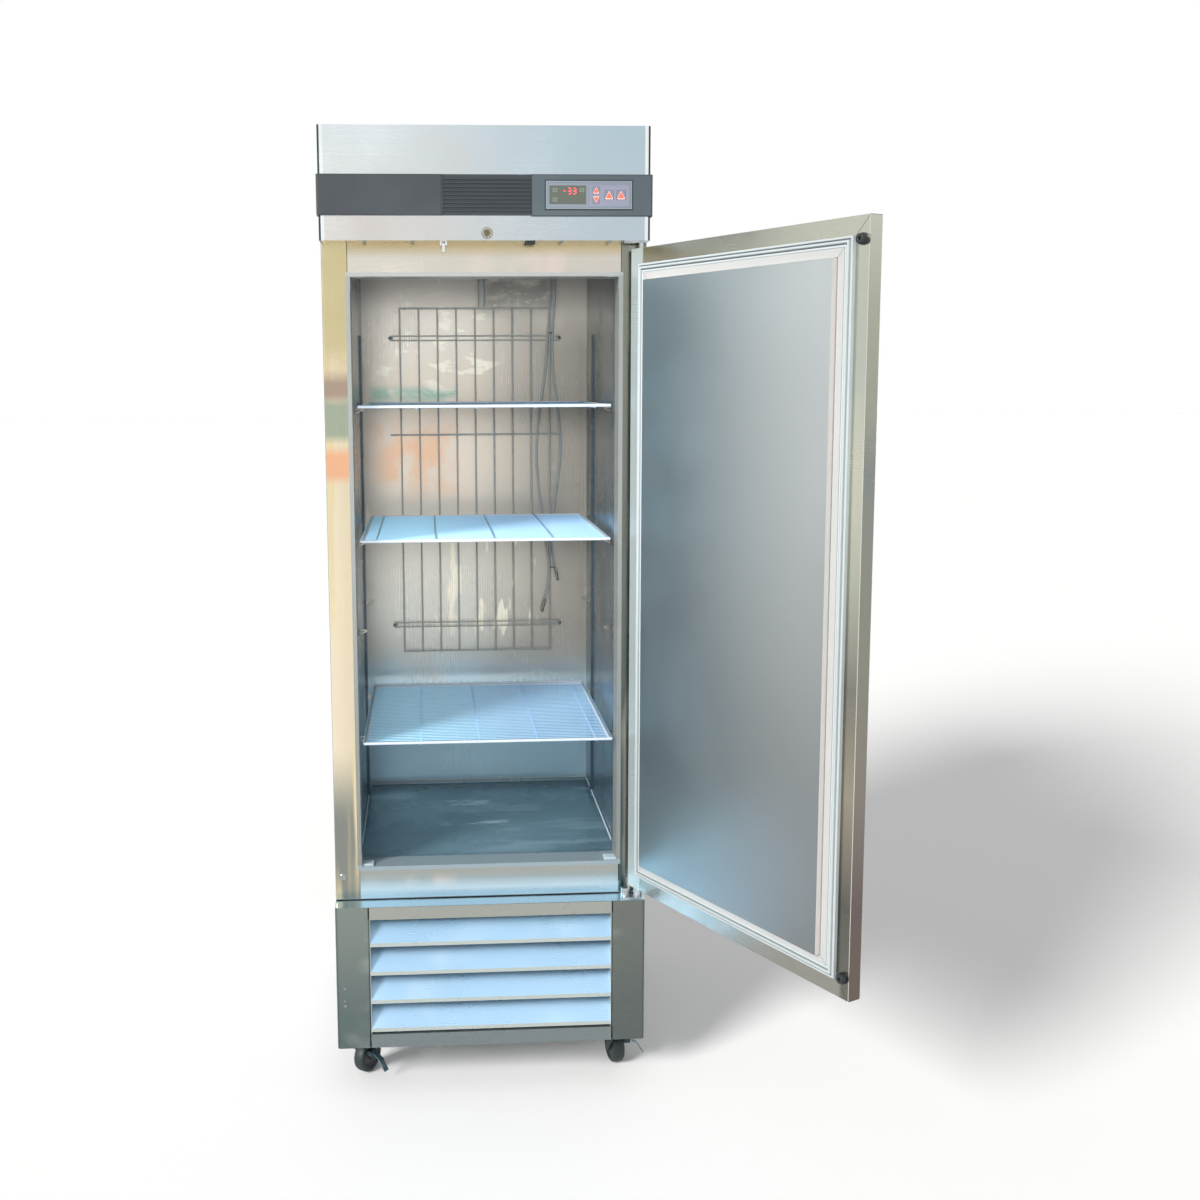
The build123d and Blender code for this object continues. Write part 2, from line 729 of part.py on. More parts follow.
with BuildPart() as guard_wires:
    with Locations((0, WIRE_Y, GUARD_BOTTOM + GUARD_HEIGHT / 2)):
        with GridLocations(GUARD_PITCH, 1, GUARD_COUNT, 1):
            Box(GUARD_WIRE, GUARD_WIRE, GUARD_HEIGHT)

coil_guard = Compound([*guard_rails.part.solids(), *guard_wires.part.solids()])
finish(coil_guard, "coil_guard")

LEAD_Y = WIRE_Y - GUARD_WIRE / 2 - LEAD_GAP - LEAD_WIRE / 2
EVAP_BOTTOM = CAVITY_TOP - EVAP_HEIGHT
# Points of the two leads below the cover, as x and the height above the guard's foot
LEAD_POINTS = (
    [
        (198, 948),
        (189, 832),
        (183, 736),
        (166, 626),
        (157, 526),
        (163, 430),
        (178, 326),
        (193, 220),
        (190, 174),
        (180, 136),
    ],
    [
        (209, 948),
        (200, 832),
        (200, 736),
        (217, 626),
        (223, 526),
        (211, 426),
        (194, 322),
        (198, 268),
        (207, 220),
    ],
)
# each tie holds both leads, at these of their points
TIED_POINTS = ((1, 1), (7, 8))


def arc_radii(points):
    """Give each corner the largest arc that its two runs allow."""
    radii = []
    for before, corner, after in zip(points, points[1:], points[2:]):
        here = Vector(*corner) - Vector(*before)
        there = Vector(*after) - Vector(*corner)
        turn = math.radians(here.get_angle(there))
        radii.append(ARC_SHARE * min(here.length, there.length) / math.tan(turn / 2))
    return radii


with BuildPart() as probe_leads:
    for lead in LEAD_POINTS:
        points = [(lead[0][0], LEAD_Y, EVAP_BOTTOM)]
        points += [(x, LEAD_Y, GUARD_BOTTOM + height) for x, height in lead]
        radii = arc_radii(points)
        with BuildLine() as lead_path:
            FilletPolyline(*points, radius=radii)
        print("lead arcs from", round(min(radii)), "mm, length", round(lead_path.wire().length), "mm")
        heading = Vector(*points[1]) - Vector(*points[0])
        with BuildSketch(Plane(origin=points[0], z_dir=heading)) as lead_section:
            RegularPolygon(radius=LEAD_WIRE / 2, side_count=LEAD_SIDES)
        sweep(lead_section.sketch, path=lead_path.line)
        end = Vector(*points[-1])
        along = (end - Vector(*points[-2])).normalized()
        with BuildSketch(Plane(origin=end, z_dir=along)) as bulb:
            RegularPolygon(radius=BULB_WIRE / 2, side_count=BULB_SIDES)
        extrude(bulb.sketch, amount=BULB_LENGTH)
    for marks in TIED_POINTS:
        held = [lead[mark] for lead, mark in zip(LEAD_POINTS, marks)]
        tied = [x for x, height in held]
        tie_level = GUARD_BOTTOM + held[0][1]
        block(
            (min(tied) - LEAD_WIRE / 2 - TIE_WALL, max(tied) + LEAD_WIRE / 2 + TIE_WALL),
            (LEAD_Y - LEAD_WIRE / 2 - TIE_WALL / 2, WIRE_Y - GUARD_WIRE / 2),
            (tie_level - TIE_HEIGHT / 2, tie_level + TIE_HEIGHT / 2),
        )
finish(probe_leads.part, "probe_leads")

# Evaporator, its fan and its cover

DRAIN_Y = BACK_WALL - DRAIN_WIRE / 2 - FIT
DRAIN_END = EVAP_BOTTOM - DRAIN_DROP
EVAP_WIDTH = 2 * (LINER_HALF - EVAP_SIDE_GAP)
EVAP_Y = FACE + EVAP_FRONT
EVAP_REAR = DRAIN_Y - DRAIN_WIRE / 2
EVAP_FAN_Z = CAVITY_TOP - EVAP_HEIGHT / 2
with BuildPart() as evaporator_cover:
    with BuildSketch(Plane.XY.offset(EVAP_BOTTOM)) as cover_outline:
        with Locations((0, (EVAP_Y + EVAP_REAR) / 2)):
            Rectangle(EVAP_WIDTH, EVAP_REAR - EVAP_Y)
    extrude(amount=EVAP_HEIGHT)
    cover_top = faces().sort_by(Axis.Z)[-1]
    offset(amount=-STEEL, openings=cover_top)
    with BuildSketch(Plane(origin=(0, EVAP_Y, EVAP_FAN_Z), z_dir=(0, 1, 0))) as fan_mouth:
        Circle(EVAP_FAN_RADIUS + FAN_TIP_GAP)
    extrude(amount=STEEL, mode=Mode.SUBTRACT)
    with BuildSketch(Plane.XY.offset(EVAP_BOTTOM)) as air_slots:
        with Locations((0, EVAP_REAR - AIR_SLOT_INSET - AIR_SLOT_WIDTH / 2)):
            with GridLocations(EVAP_WIDTH / AIR_SLOT_COUNT, 1, AIR_SLOT_COUNT, 1):
                Rectangle(EVAP_WIDTH / AIR_SLOT_COUNT - AIR_SLOT_LAND, AIR_SLOT_WIDTH)
    extrude(amount=STEEL, mode=Mode.SUBTRACT)
finish(evaporator_cover.part, "evaporator_cover")

with BuildPart() as drain_tube:
    with BuildSketch(Plane.XY.offset(DRAIN_END)) as drain_section:
        with Locations((DRAIN_X, DRAIN_Y)):
            Circle(DRAIN_WIRE / 2)
            RegularPolygon(radius=DRAIN_WIRE / 2 - DRAIN_WALL, side_count=DRAIN_SIDES, mode=Mode.SUBTRACT)
    extrude(amount=CAVITY_TOP - DRAIN_END)
finish(drain_tube.part, "drain_tube")


def fin_block(centre, width, height, depth, count):
    """Make upright fins between two header plates, open to air that flows along Y."""
    pitch = width / count
    with BuildPart() as made:
        with BuildSketch(Plane(origin=centre, x_dir=(1, 0, 0), z_dir=(0, -1, 0))) as grid:
            Rectangle(width, height)
            with GridLocations(pitch, 1, count, 1):
                Rectangle(pitch - FIN_PLATE, height - 2 * HEADER_PLATE, mode=Mode.SUBTRACT)
        extrude(amount=depth / 2, both=True)
    return made.part


COIL_WIDTH = EVAP_WIDTH - 2 * COIL_SIDE_GAP
COIL_Y = EVAP_Y + COIL_FRONT + COIL_DEPTH / 2
COIL_Z = CAVITY_TOP - COIL_HEIGHT / 2
evaporator_coil = fin_block((0, COIL_Y, COIL_Z), COIL_WIDTH, COIL_HEIGHT, COIL_DEPTH, FIN_COUNT)
finish(evaporator_coil, "evaporator_coil")


def fan_blades(centre, radius, hub, count):
    """Make a fan that turns about Y: a bored hub with pitched blades."""
    with BuildPart() as made:
        for number in range(count):
            turn = 2 * math.pi * number / count
            out = Vector(math.cos(turn), 0, math.sin(turn))
            root = Vector(*centre) + out * (hub / 2)
            with BuildSketch(Plane(origin=root, x_dir=(0, 1, 0), z_dir=out)) as blade:
                Rectangle(FAN_CHORD, FAN_PLATE, rotation=FAN_PITCH)
            extrude(blade.sketch, amount=radius - hub / 2)
        with BuildSketch(Plane(origin=centre, z_dir=(0, 1, 0))) as hub_section:
            RegularPolygon(radius=hub, side_count=HUB_SIDES)
        extrude(hub_section.sketch, amount=FAN_DEPTH / 2, both=True)
        with BuildSketch(Plane(origin=centre, z_dir=(0, 1, 0))) as bore:
            Circle(SHAFT_RADIUS + SHAFT_CLEARANCE)
        extrude(bore.sketch, amount=FAN_DEPTH, both=True, mode=Mode.SUBTRACT)
    return made.part


CHASSIS_TOP = CASTER_HEIGHT + CHASSIS_PLATE
CONDENSER_Y = FACE + CONDENSER_FRONT + CONDENSER_DEPTH / 2
CONDENSER_Z = CHASSIS_TOP + CONDENSER_HEIGHT / 2
BLADE_REACH = FAN_CHORD * math.cos(math.radians(FAN_PITCH)) / 2 + FAN_PLATE
CONDENSER_FAN_Y = CONDENSER_Y + CONDENSER_DEPTH / 2 + CONDENSER_FAN_GAP + BLADE_REACH
EVAP_FAN_SPOT = (0, EVAP_Y + EVAP_FAN_INSET, EVAP_FAN_Z)
CONDENSER_FAN_SPOT = (CONDENSER_X, CONDENSER_FAN_Y, CONDENSER_Z)
evaporator_fan = fan_blades(EVAP_FAN_SPOT, EVAP_FAN_RADIUS, EVAP_FAN_HUB, EVAP_FAN_BLADES)
finish(evaporator_fan, "evaporator_fan")

with BuildPart() as fan_motors:
    motor_sizes = (
        (EVAP_FAN_SPOT, EVAP_MOTOR_RADIUS, CAVITY_TOP),
        (CONDENSER_FAN_SPOT, CONDENSER_MOTOR_RADIUS, CHASSIS_TOP),
    )
    for (x, y, z), radius, foot_level in motor_sizes:
        motor_front = y + BLADE_REACH + MOTOR_GAP
        motor_rear = motor_front + MOTOR_LENGTH
        with BuildSketch(Plane(origin=(x, motor_front, z), z_dir=(0, 1, 0))) as motor_body:
            RegularPolygon(radius=radius, side_count=HUB_SIDES)
        extrude(amount=MOTOR_LENGTH)
        with BuildSketch(Plane(origin=(x, y - FAN_DEPTH / 2, z), z_dir=(0, 1, 0))) as shaft:
            Circle(SHAFT_RADIUS)
        extrude(amount=motor_front - y + FAN_DEPTH / 2)
        block(
            (x - FOOT_WIDTH / 2, x + FOOT_WIDTH / 2),
            (motor_rear - FOOT_PLATE, motor_rear),
            sorted((z, foot_level)),
        )
finish(fan_motors.part, "fan_motors")

# Hood, its band and the controls

LOCK_Z = HOOD_BOTTOM + LOCK_LEVEL
LOCK_PLANE = Plane(origin=(LOCK_X, HOOD_FRONT, LOCK_Z), x_dir=(1, 0, 0), z_dir=(0, -1, 0))
with BuildPart() as hood_panel:
    with BuildSketch(Plane.XY.offset(HOOD_BOTTOM)) as hood_section:
        bent_sheet(
            [(-HALF, FACE), (-HALF, HOOD_FRONT), (HALF, HOOD_FRONT), (HALF, FACE)],
            HOOD_BEND,
            STEEL,
            Side.LEFT,
        )
    extrude(amount=HOOD_HEIGHT)
    with BuildSketch(Plane.XY.offset(HOOD_BOTTOM), Plane.XY.offset(ROOF - STEEL)) as hood_ends:
        with Locations((0, (HOOD_FRONT + FACE) / 2)):
            Rectangle(CABINET_WIDTH, FRONT_PROUD)
        hood_corners = hood_ends.vertices().sort_by(Axis.Y)[:2]
        fillet(hood_corners, HOOD_BEND)
    extrude(amount=STEEL)
    with BuildSketch(LOCK_PLANE) as lock_hole:
        Circle(LOCK_RADIUS + FIT)
    extrude(amount=-2 * STEEL, mode=Mode.SUBTRACT)
finish(hood_panel.part, "hood_panel")

BAND_LOW = HOOD_BOTTOM + BAND_BOTTOM
CAP_END = CAP_WIDTH - HALF
CONTROL_START = HALF - CONTROL_WIDTH
with BuildPart() as hood_band:
    with BuildSketch(Plane.XY.offset(BAND_LOW)) as cap_section:
        bent_sheet(
            [
                (-HALF - BAND_PROUD, HOOD_FRONT + BAND_WRAP),
                (-HALF - BAND_PROUD, HOOD_FRONT - BAND_PROUD),
                (CAP_END, HOOD_FRONT - BAND_PROUD),
            ],
            BAND_CORNER,
            BAND_PROUD,
            Side.LEFT,
        )
    extrude(amount=BAND_HEIGHT)
    with BuildSketch(Plane.YZ.offset(CAP_END)) as rib_section:
        with Locations((HOOD_FRONT - RIB_BASE / 2, BAND_LOW + BAND_HEIGHT / 2)):
            Rectangle(RIB_BASE, BAND_HEIGHT)
        foot = HOOD_FRONT - RIB_BASE
        crest = foot - RIB_PROUD
        for number in range(RIB_COUNT):
            middle = BAND_LOW + BAND_HEIGHT / 2 + (number - (RIB_COUNT - 1) / 2) * RIB_PITCH
            Polygon(
                (foot, middle - RIB_FOOT / 2),
                (crest, middle - RIB_CREST / 2),
                (crest, middle + RIB_CREST / 2),
                (foot, middle + RIB_FOOT / 2),
                align=None,
            )
    extrude(amount=CONTROL_START - CAP_END)
finish(hood_band.part, "hood_band")

DISPLAY_X = HALF - DISPLAY_INSET - DISPLAY_WIDTH / 2
DISPLAY_Z = HOOD_BOTTOM + DISPLAY_LEVEL
with BuildPart() as control_housing:
    with BuildSketch(Plane.XY.offset(BAND_LOW - CONTROL_RISE)) as control_section:
        bent_sheet(
            [
                (CONTROL_START, HOOD_FRONT - CONTROL_PROUD),
                (HALF + CONTROL_PROUD, HOOD_FRONT - CONTROL_PROUD),
                (HALF + CONTROL_PROUD, HOOD_FRONT + BAND_WRAP),
            ],
            CONTROL_BEND,
            CONTROL_PROUD,
            Side.LEFT,
        )
    extrude(amount=BAND_HEIGHT + CONTROL_RISE)
    block(
        (DISPLAY_X - DISPLAY_WIDTH / 2, DISPLAY_X + DISPLAY_WIDTH / 2),
        (HOOD_FRONT - CONTROL_PROUD, HOOD_FRONT),
        (DISPLAY_Z - DISPLAY_HEIGHT / 2, DISPLAY_Z + DISPLAY_HEIGHT / 2),
        Mode.SUBTRACT,
    )
finish(control_housing.part, "control_housing")

DISPLAY_DEPTH = CONTROL_PROUD + DISPLAY_PROUD
DISPLAY_FACE = HOOD_FRONT - DISPLAY_DEPTH
DISPLAY_PLANE = Plane(
    origin=(DISPLAY_X, DISPLAY_FACE, DISPLAY_Z),
    x_dir=(1, 0, 0),
    z_dir=(0, -1, 0),
)
with BuildPart() as display_module:
    with BuildSketch(DISPLAY_PLANE) as bezel:
        Rectangle(DISPLAY_WIDTH, DISPLAY_HEIGHT)
    extrude(amount=-DISPLAY_DEPTH)
    with BuildSketch(DISPLAY_PLANE) as recesses:
        with Locations((WINDOW_X, 0)):
            Rectangle(*WINDOW_SIZE)
        with Locations((KEY_FIELD_X, 0)):
            Rectangle(*KEY_FIELD_SIZE)
    extrude(amount=-RECESS, mode=Mode.SUBTRACT)
    with BuildSketch(DISPLAY_PLANE) as key_holes:
        for x, z, side in KEYS.values():
            with Locations((x, z)):
                Rectangle(side + 2 * KEY_GAP, side + 2 * KEY_GAP)
    extrude(amount=-DISPLAY_DEPTH, mode=Mode.SUBTRACT)
finish(display_module.part, "display_module")

for key_name, (x, z, side) in KEYS.items():
    key_front = DISPLAY_FACE + RECESS - KEY_PROUD
    key_plane = Plane(
        origin=(DISPLAY_X + x, key_front, DISPLAY_Z + z),
        x_dir=(1, 0, 0),
        z_dir=(0, -1, 0),
    )
    with BuildPart() as key:
        with BuildSketch(key_plane) as key_cap:
            Rectangle(side, side)
        extrude(amount=-KEY_THICKNESS)
    finish(key.part, key_name)

with BuildPart() as lock_body:
    with BuildSketch(LOCK_PLANE) as lock_flange:
        Circle(LOCK_FLANGE)
    extrude(amount=LOCK_FLANGE_PLATE)
    with BuildSketch(LOCK_PLANE) as barrel:
        Circle(LOCK_RADIUS)
    extrude(amount=-LOCK_LENGTH)
    with BuildSketch(LOCK_PLANE.offset(LOCK_FLANGE_PLATE)) as plug_bore:
        Circle(PLUG_RADIUS + PLUG_CLEARANCE)
    extrude(amount=-LOCK_LENGTH - LOCK_FLANGE_PLATE, mode=Mode.SUBTRACT)
finish(lock_body.part, "lock_body")

with BuildPart() as lock_plug:
    plug_front = LOCK_FLANGE_PLATE + PLUG_PROUD
    with BuildSketch(LOCK_PLANE.offset(plug_front)) as plug_section:
        Circle(PLUG_RADIUS)
    extrude(amount=-plug_front - LOCK_LENGTH - CAM_GAP)
    with BuildSketch(LOCK_PLANE.offset(plug_front)) as keyway:
        Rectangle(*KEYWAY)
    extrude(amount=-KEYWAY_DEPTH, mode=Mode.SUBTRACT)
    with BuildSketch(LOCK_PLANE.offset(-LOCK_LENGTH - CAM_GAP)) as cam:
        with Locations(((CAM_LENGTH - CAM_WIDTH / 2) / 2, 0)):
            SlotCenterToCenter(CAM_LENGTH - CAM_WIDTH / 2, CAM_WIDTH)
        Circle(PLUG_RADIUS)
    extrude(amount=-CAM_PLATE)
finish(lock_plug.part, "lock_plug")

SWITCH_Y = FACE - SWITCH_BEFORE_FACE
SWITCH_Z = HOOD_BOTTOM - SWITCH_HEIGHT / 2
SWITCH_PLANE = Plane(
    origin=(SWITCH_X, SWITCH_Y, SWITCH_Z),
    x_dir=(0, 1, 0),
    z_dir=(1, 0, 0),
)
with BuildPart() as door_switch:
    with Locations((SWITCH_X, SWITCH_Y, SWITCH_Z)):
        Box(SWITCH_WIDTH, SWITCH_DEPTH, SWITCH_HEIGHT)
        Box(LEVER_WIDTH + 2 * FIT, SWITCH_DEPTH, SWITCH_HEIGHT, mode=Mode.SUBTRACT)
    with BuildSketch(SWITCH_PLANE) as switch_pin:
        Circle(SWITCH_PIN)
    extrude(amount=LEVER_WIDTH / 2 + FIT + SWITCH_PIN_BITE, both=True)
finish(door_switch.part, "door_switch")

with BuildPart() as switch_lever:
    with BuildSketch(SWITCH_PLANE) as lever_side:
        with Locations((0, -LEVER_LENGTH / 2)):
            Rectangle(LEVER_PLATE, LEVER_LENGTH)
        RegularPolygon(radius=LEVER_BARREL, side_count=BARREL_SIDES)
        Circle(SWITCH_PIN + SWITCH_CLEARANCE, mode=Mode.SUBTRACT)
    extrude(amount=LEVER_WIDTH / 2, both=True)
finish(switch_lever.part, "switch_lever")

# Hinges

BRACKET_X = HINGE_X - BRACKET_SHIFT
STUD_X = HINGE_X - STUD_SPACING
LOWER_PLATE_TOP = BASE_TOP + BRACKET_PLATE
UPPER_PLATE_LOW = HOOD_BOTTOM - BRACKET_PLATE
with BuildPart() as hinge_brackets:
    with BuildSketch(Plane.XY.offset(BASE_TOP), Plane.XY.offset(UPPER_PLATE_LOW)) as bracket_plates:
        with Locations((BRACKET_X, HINGE_Y)):
            Rectangle(BRACKET_LENGTH, BRACKET_WIDTH)
        chamfer(bracket_plates.vertices(), BRACKET_CORNER)
    extrude(amount=BRACKET_PLATE)
    with BuildSketch(Plane.XY.offset(LOWER_PLATE_TOP)) as lower_pin:
        with Locations((HINGE_X, HINGE_Y)):
            Circle(PIN_RADIUS)
    extrude(amount=DOOR_BOTTOM + PIN_DEPTH - LOWER_PLATE_TOP)
    with BuildSketch(Plane.XY.offset(UPPER_PLATE_LOW)) as upper_pin:
        with Locations((HINGE_X, HINGE_Y)):
            Circle(PIN_RADIUS)
    extrude(amount=DOOR_TOP - PIN_DEPTH - UPPER_PLATE_LOW)
    with BuildSketch(Plane.XY.offset(LOWER_PLATE_TOP)) as collar:
        with Locations((HINGE_X, HINGE_Y)):
            RegularPolygon(radius=COLLAR_RADIUS, side_count=COLLAR_SIDES)
    extrude(amount=DOOR_BOTTOM - COLLAR_GAP - LOWER_PLATE_TOP)
    with BuildSketch(Plane.XY.offset(LOWER_PLATE_TOP)) as stud:
        with Locations((STUD_X, HINGE_Y)):
            Circle(STUD_RADIUS)
    extrude(amount=STUD_HEIGHT)
finish(hinge_brackets.part, "hinge_brackets")

# Door, modelled closed and then swung open

SOCKET_BORE = PIN_RADIUS + PIN_CLEARANCE
SOCKET_RADIUS = SOCKET_BORE + SOCKET_WALL
HANDLE_X = -DOOR_WIDTH / 2 + HANDLE_INSET
HANDLE_Z = DOOR_BOTTOM + HANDLE_LEVEL
HANDLE_PLANE = Plane(origin=(HANDLE_X, DOOR_OUTER, HANDLE_Z), x_dir=(1, 0, 0), z_dir=(0, -1, 0))


def door_plane(height):
    """Give the plane at a height off the door pan's inner face, facing into the cabinet."""
    return Plane(origin=(0, DOOR_INNER + height, DOOR_MIDDLE), x_dir=(-1, 0, 0), z_dir=(0, 1, 0))


with BuildPart() as door_pan:
    with BuildSketch(door_plane(0)) as pan_outline:
        Rectangle(DOOR_WIDTH, DOOR_TALL)
    extrude(amount=-DOOR_EDGE)
    outer_face = faces().sort_by(Axis.Y)[0]
    fillet(outer_face.edges().filter_by(Axis.Z), DOOR_BEND)
    inner_face = faces().sort_by(Axis.Y)[-1]
    offset(amount=-STEEL, openings=inner_face)
    ring(0, PAN_FLANGE, DOOR_INNER - STEEL, STEEL)
    for end, depth in ((DOOR_TOP, -SOCKET_DEPTH), (DOOR_BOTTOM, SOCKET_DEPTH)):
        with BuildSketch(Plane.XY.offset(end)) as socket:
            with Locations((HINGE_X, HINGE_Y)):
                RegularPolygon(radius=SOCKET_RADIUS, side_count=SOCKET_SIDES, major_radius=False)
        extrude(amount=depth)
        with BuildSketch(Plane.XY.offset(end)) as socket_bore:
            with Locations((HINGE_X, HINGE_Y)):
                Circle(SOCKET_BORE)
        extrude(amount=depth, mode=Mode.SUBTRACT)
    with BuildSketch(HANDLE_PLANE) as handle_hole:
        Rectangle(HANDLE_WIDTH, HANDLE_HEIGHT)
    extrude(amount=-2 * STEEL, mode=Mode.SUBTRACT)
finish(swing_open(door_pan.part), "door_pan")

with BuildPart() as door_foam:
    with BuildSketch(door_plane(-STEEL)) as foam_outline:
        Rectangle(DOOR_WIDTH - 2 * STEEL, DOOR_TALL - 2 * STEEL)
    extrude(amount=2 * STEEL - DOOR_EDGE)
    foam_back = faces().sort_by(Axis.Y)[0]
    chamfer(foam_back.edges().filter_by(Axis.Z), DOOR_BEND - STEEL)
    plug_inset = 2 * (PLUG_MARGIN + LINER)
    with BuildSketch(door_plane(-STEEL)) as foam_plug:
        Rectangle(DOOR_WIDTH - plug_inset, DOOR_TALL - plug_inset)
    extrude(amount=STEEL + PLUG_HEIGHT - LINER)
    with BuildSketch(Plane.XY.offset(DOOR_TOP), Plane.XY.offset(DOOR_BOTTOM + SOCKET_DEPTH)) as wells:
        with Locations((HINGE_X, HINGE_Y)):
            RegularPolygon(radius=SOCKET_RADIUS, side_count=SOCKET_SIDES, major_radius=False)
    extrude(amount=-SOCKET_DEPTH, mode=Mode.SUBTRACT)
    with BuildSketch(HANDLE_PLANE) as handle_well:
        Rectangle(HANDLE_WIDTH, HANDLE_HEIGHT)
    extrude(amount=-HANDLE_DEPTH, mode=Mode.SUBTRACT)
finish(swing_open(door_foam.part), "door_foam")

with BuildPart() as door_liner:
    with BuildSketch(door_plane(0)) as liner_outline:
        Rectangle(DOOR_WIDTH - 2 * PLUG_MARGIN, DOOR_TALL - 2 * PLUG_MARGIN)
    extrude(amount=PLUG_HEIGHT)
    liner_open = faces().sort_by(Axis.Y)[0]
    offset(amount=-LINER, openings=liner_open)
finish(swing_open(door_liner.part), "door_liner")

with BuildPart() as door_trim:
    ring(TRIM_MARGIN, PLUG_MARGIN, DOOR_INNER, TRIM_LOW)
    with BuildSketch(door_plane(TRIM_LOW)) as trim_foot:
        Rectangle(DOOR_WIDTH - 2 * TRIM_MARGIN, DOOR_TALL - 2 * TRIM_MARGIN)
    crest_inset = 2 * (PLUG_MARGIN - TRIM_LAND)
    with BuildSketch(door_plane(PLUG_HEIGHT)) as trim_crest:
        Rectangle(DOOR_WIDTH - crest_inset, DOOR_TALL - crest_inset)
    loft([trim_foot.sketch.face(), trim_crest.sketch.face()])
    with BuildSketch(door_plane(TRIM_LOW)) as trim_inside:
        Rectangle(DOOR_WIDTH - 2 * PLUG_MARGIN, DOOR_TALL - 2 * PLUG_MARGIN)
    extrude(amount=PLUG_HEIGHT, mode=Mode.SUBTRACT)
finish(swing_open(door_trim.part), "door_trim")

RIB_STEP = (GASKET_WIDTH - RIB_WIDTH) / (GASKET_RIBS - 1)
with BuildPart() as door_gasket:
    ring(GASKET_MARGIN, GASKET_MARGIN + GASKET_WIDTH, DOOR_INNER, GASKET_BASE)
    for number in range(GASKET_RIBS):
        rib_margin = GASKET_MARGIN + number * RIB_STEP
        ring(rib_margin, rib_margin + RIB_WIDTH, DOOR_INNER, GASKET_HEIGHT)
finish(swing_open(door_gasket.part), "door_gasket")

with BuildPart() as door_bumpers:
    with BuildSketch(door_plane(0)) as bumper_sections:
        with Locations((DOOR_WIDTH / 2 - BUMPER_INSET, 0)):
            with GridLocations(1, DOOR_TALL - 2 * BUMPER_FROM_END, 1, 2):
                Circle(BUMPER_RADIUS)
                RegularPolygon(radius=BUMPER_HOLE, side_count=BUMPER_HOLE_SIDES, mode=Mode.SUBTRACT)
    extrude(amount=BUMPER_HEIGHT)
finish(swing_open(door_bumpers.part), "door_bumpers")

with BuildPart() as door_handle:
    with BuildSketch(HANDLE_PLANE) as handle_lip:
        Rectangle(HANDLE_WIDTH + 2 * HANDLE_FLANGE, HANDLE_HEIGHT + 2 * HANDLE_FLANGE)
        chamfer(handle_lip.vertices(), HANDLE_FLANGE)
    extrude(amount=HANDLE_WALL)
    with BuildSketch(HANDLE_PLANE) as handle_cup:
        Rectangle(HANDLE_WIDTH, HANDLE_HEIGHT)
    extrude(amount=-HANDLE_DEPTH)
    with BuildSketch(HANDLE_PLANE.offset(HANDLE_WALL)) as handle_inside:
        Rectangle(HANDLE_WIDTH - 2 * HANDLE_WALL, HANDLE_HEIGHT - 2 * HANDLE_WALL)
        chamfer(handle_inside.vertices(), HANDLE_CORNER - HANDLE_WALL)
    extrude(amount=-HANDLE_DEPTH, mode=Mode.SUBTRACT)
finish(swing_open(door_handle.part), "door_handle")

# Base

POST_INNER = HALF - POST_WIDTH
SPACER_OUTER = HALF - SPACER_INSET
with BuildPart() as base_shell:
    with BuildSketch(Plane.XY.offset(CASTER_HEIGHT)) as base_sides:
        bent_sheet(
            [
                (HALF, REAR),
                (HALF, HOOD_FRONT),
                (POST_INNER, HOOD_FRONT),
                (POST_INNER, HOOD_FRONT + POST_DEPTH),
            ],
            POST_BEND,
            STEEL,
            Side.RIGHT,
        )
        mirror(about=Plane.YZ)
    extrude(amount=BASE_HEIGHT - STEEL)
    with BuildSketch(Plane.XY.offset(BASE_TOP - STEEL)) as ledge:
        with Locations((0, (HOOD_FRONT + REAR) / 2)):
            Rectangle(CABINET_WIDTH, REAR - HOOD_FRONT)
        ledge_corners = ledge.vertices().sort_by(Axis.Y)[:2]
        fillet(ledge_corners, POST_BEND)
    extrude(amount=STEEL)
    block(
        (-HALF + STEEL, HALF - STEEL),
        (REAR - STEEL, REAR),
        (CASTER_HEIGHT + CHASSIS_FLANGE, BASE_TOP - STEEL),
    )
    vent_plane = Plane(
        origin=(0, REAR, (CASTER_HEIGHT + BASE_TOP) / 2),
        x_dir=(1, 0, 0),
        z_dir=(0, -1, 0),
    )
    with BuildSketch(vent_plane) as rear_vents:
        with GridLocations(VENT_PITCH, 1, VENT_COUNT, 1):
            Rectangle(*VENT_SIZE)
    extrude(amount=STEEL, mode=Mode.SUBTRACT)
    with BuildSketch(Plane.XY.offset(BASE_TOP)) as spacers:
        with GridLocations(2 * SPACER_OUTER - SPACER_WIDTH, 1, 2, 1):
            Rectangle(SPACER_WIDTH, CABINET_DEPTH - 2 * SPACER_INSET)
        with Locations((0, FACE + SPACER_INSET + SPACER_WIDTH / 2)):
            Rectangle(2 * SPACER_OUTER, SPACER_WIDTH)
    extrude(amount=SEAM)
finish(base_shell.part, "base_shell")

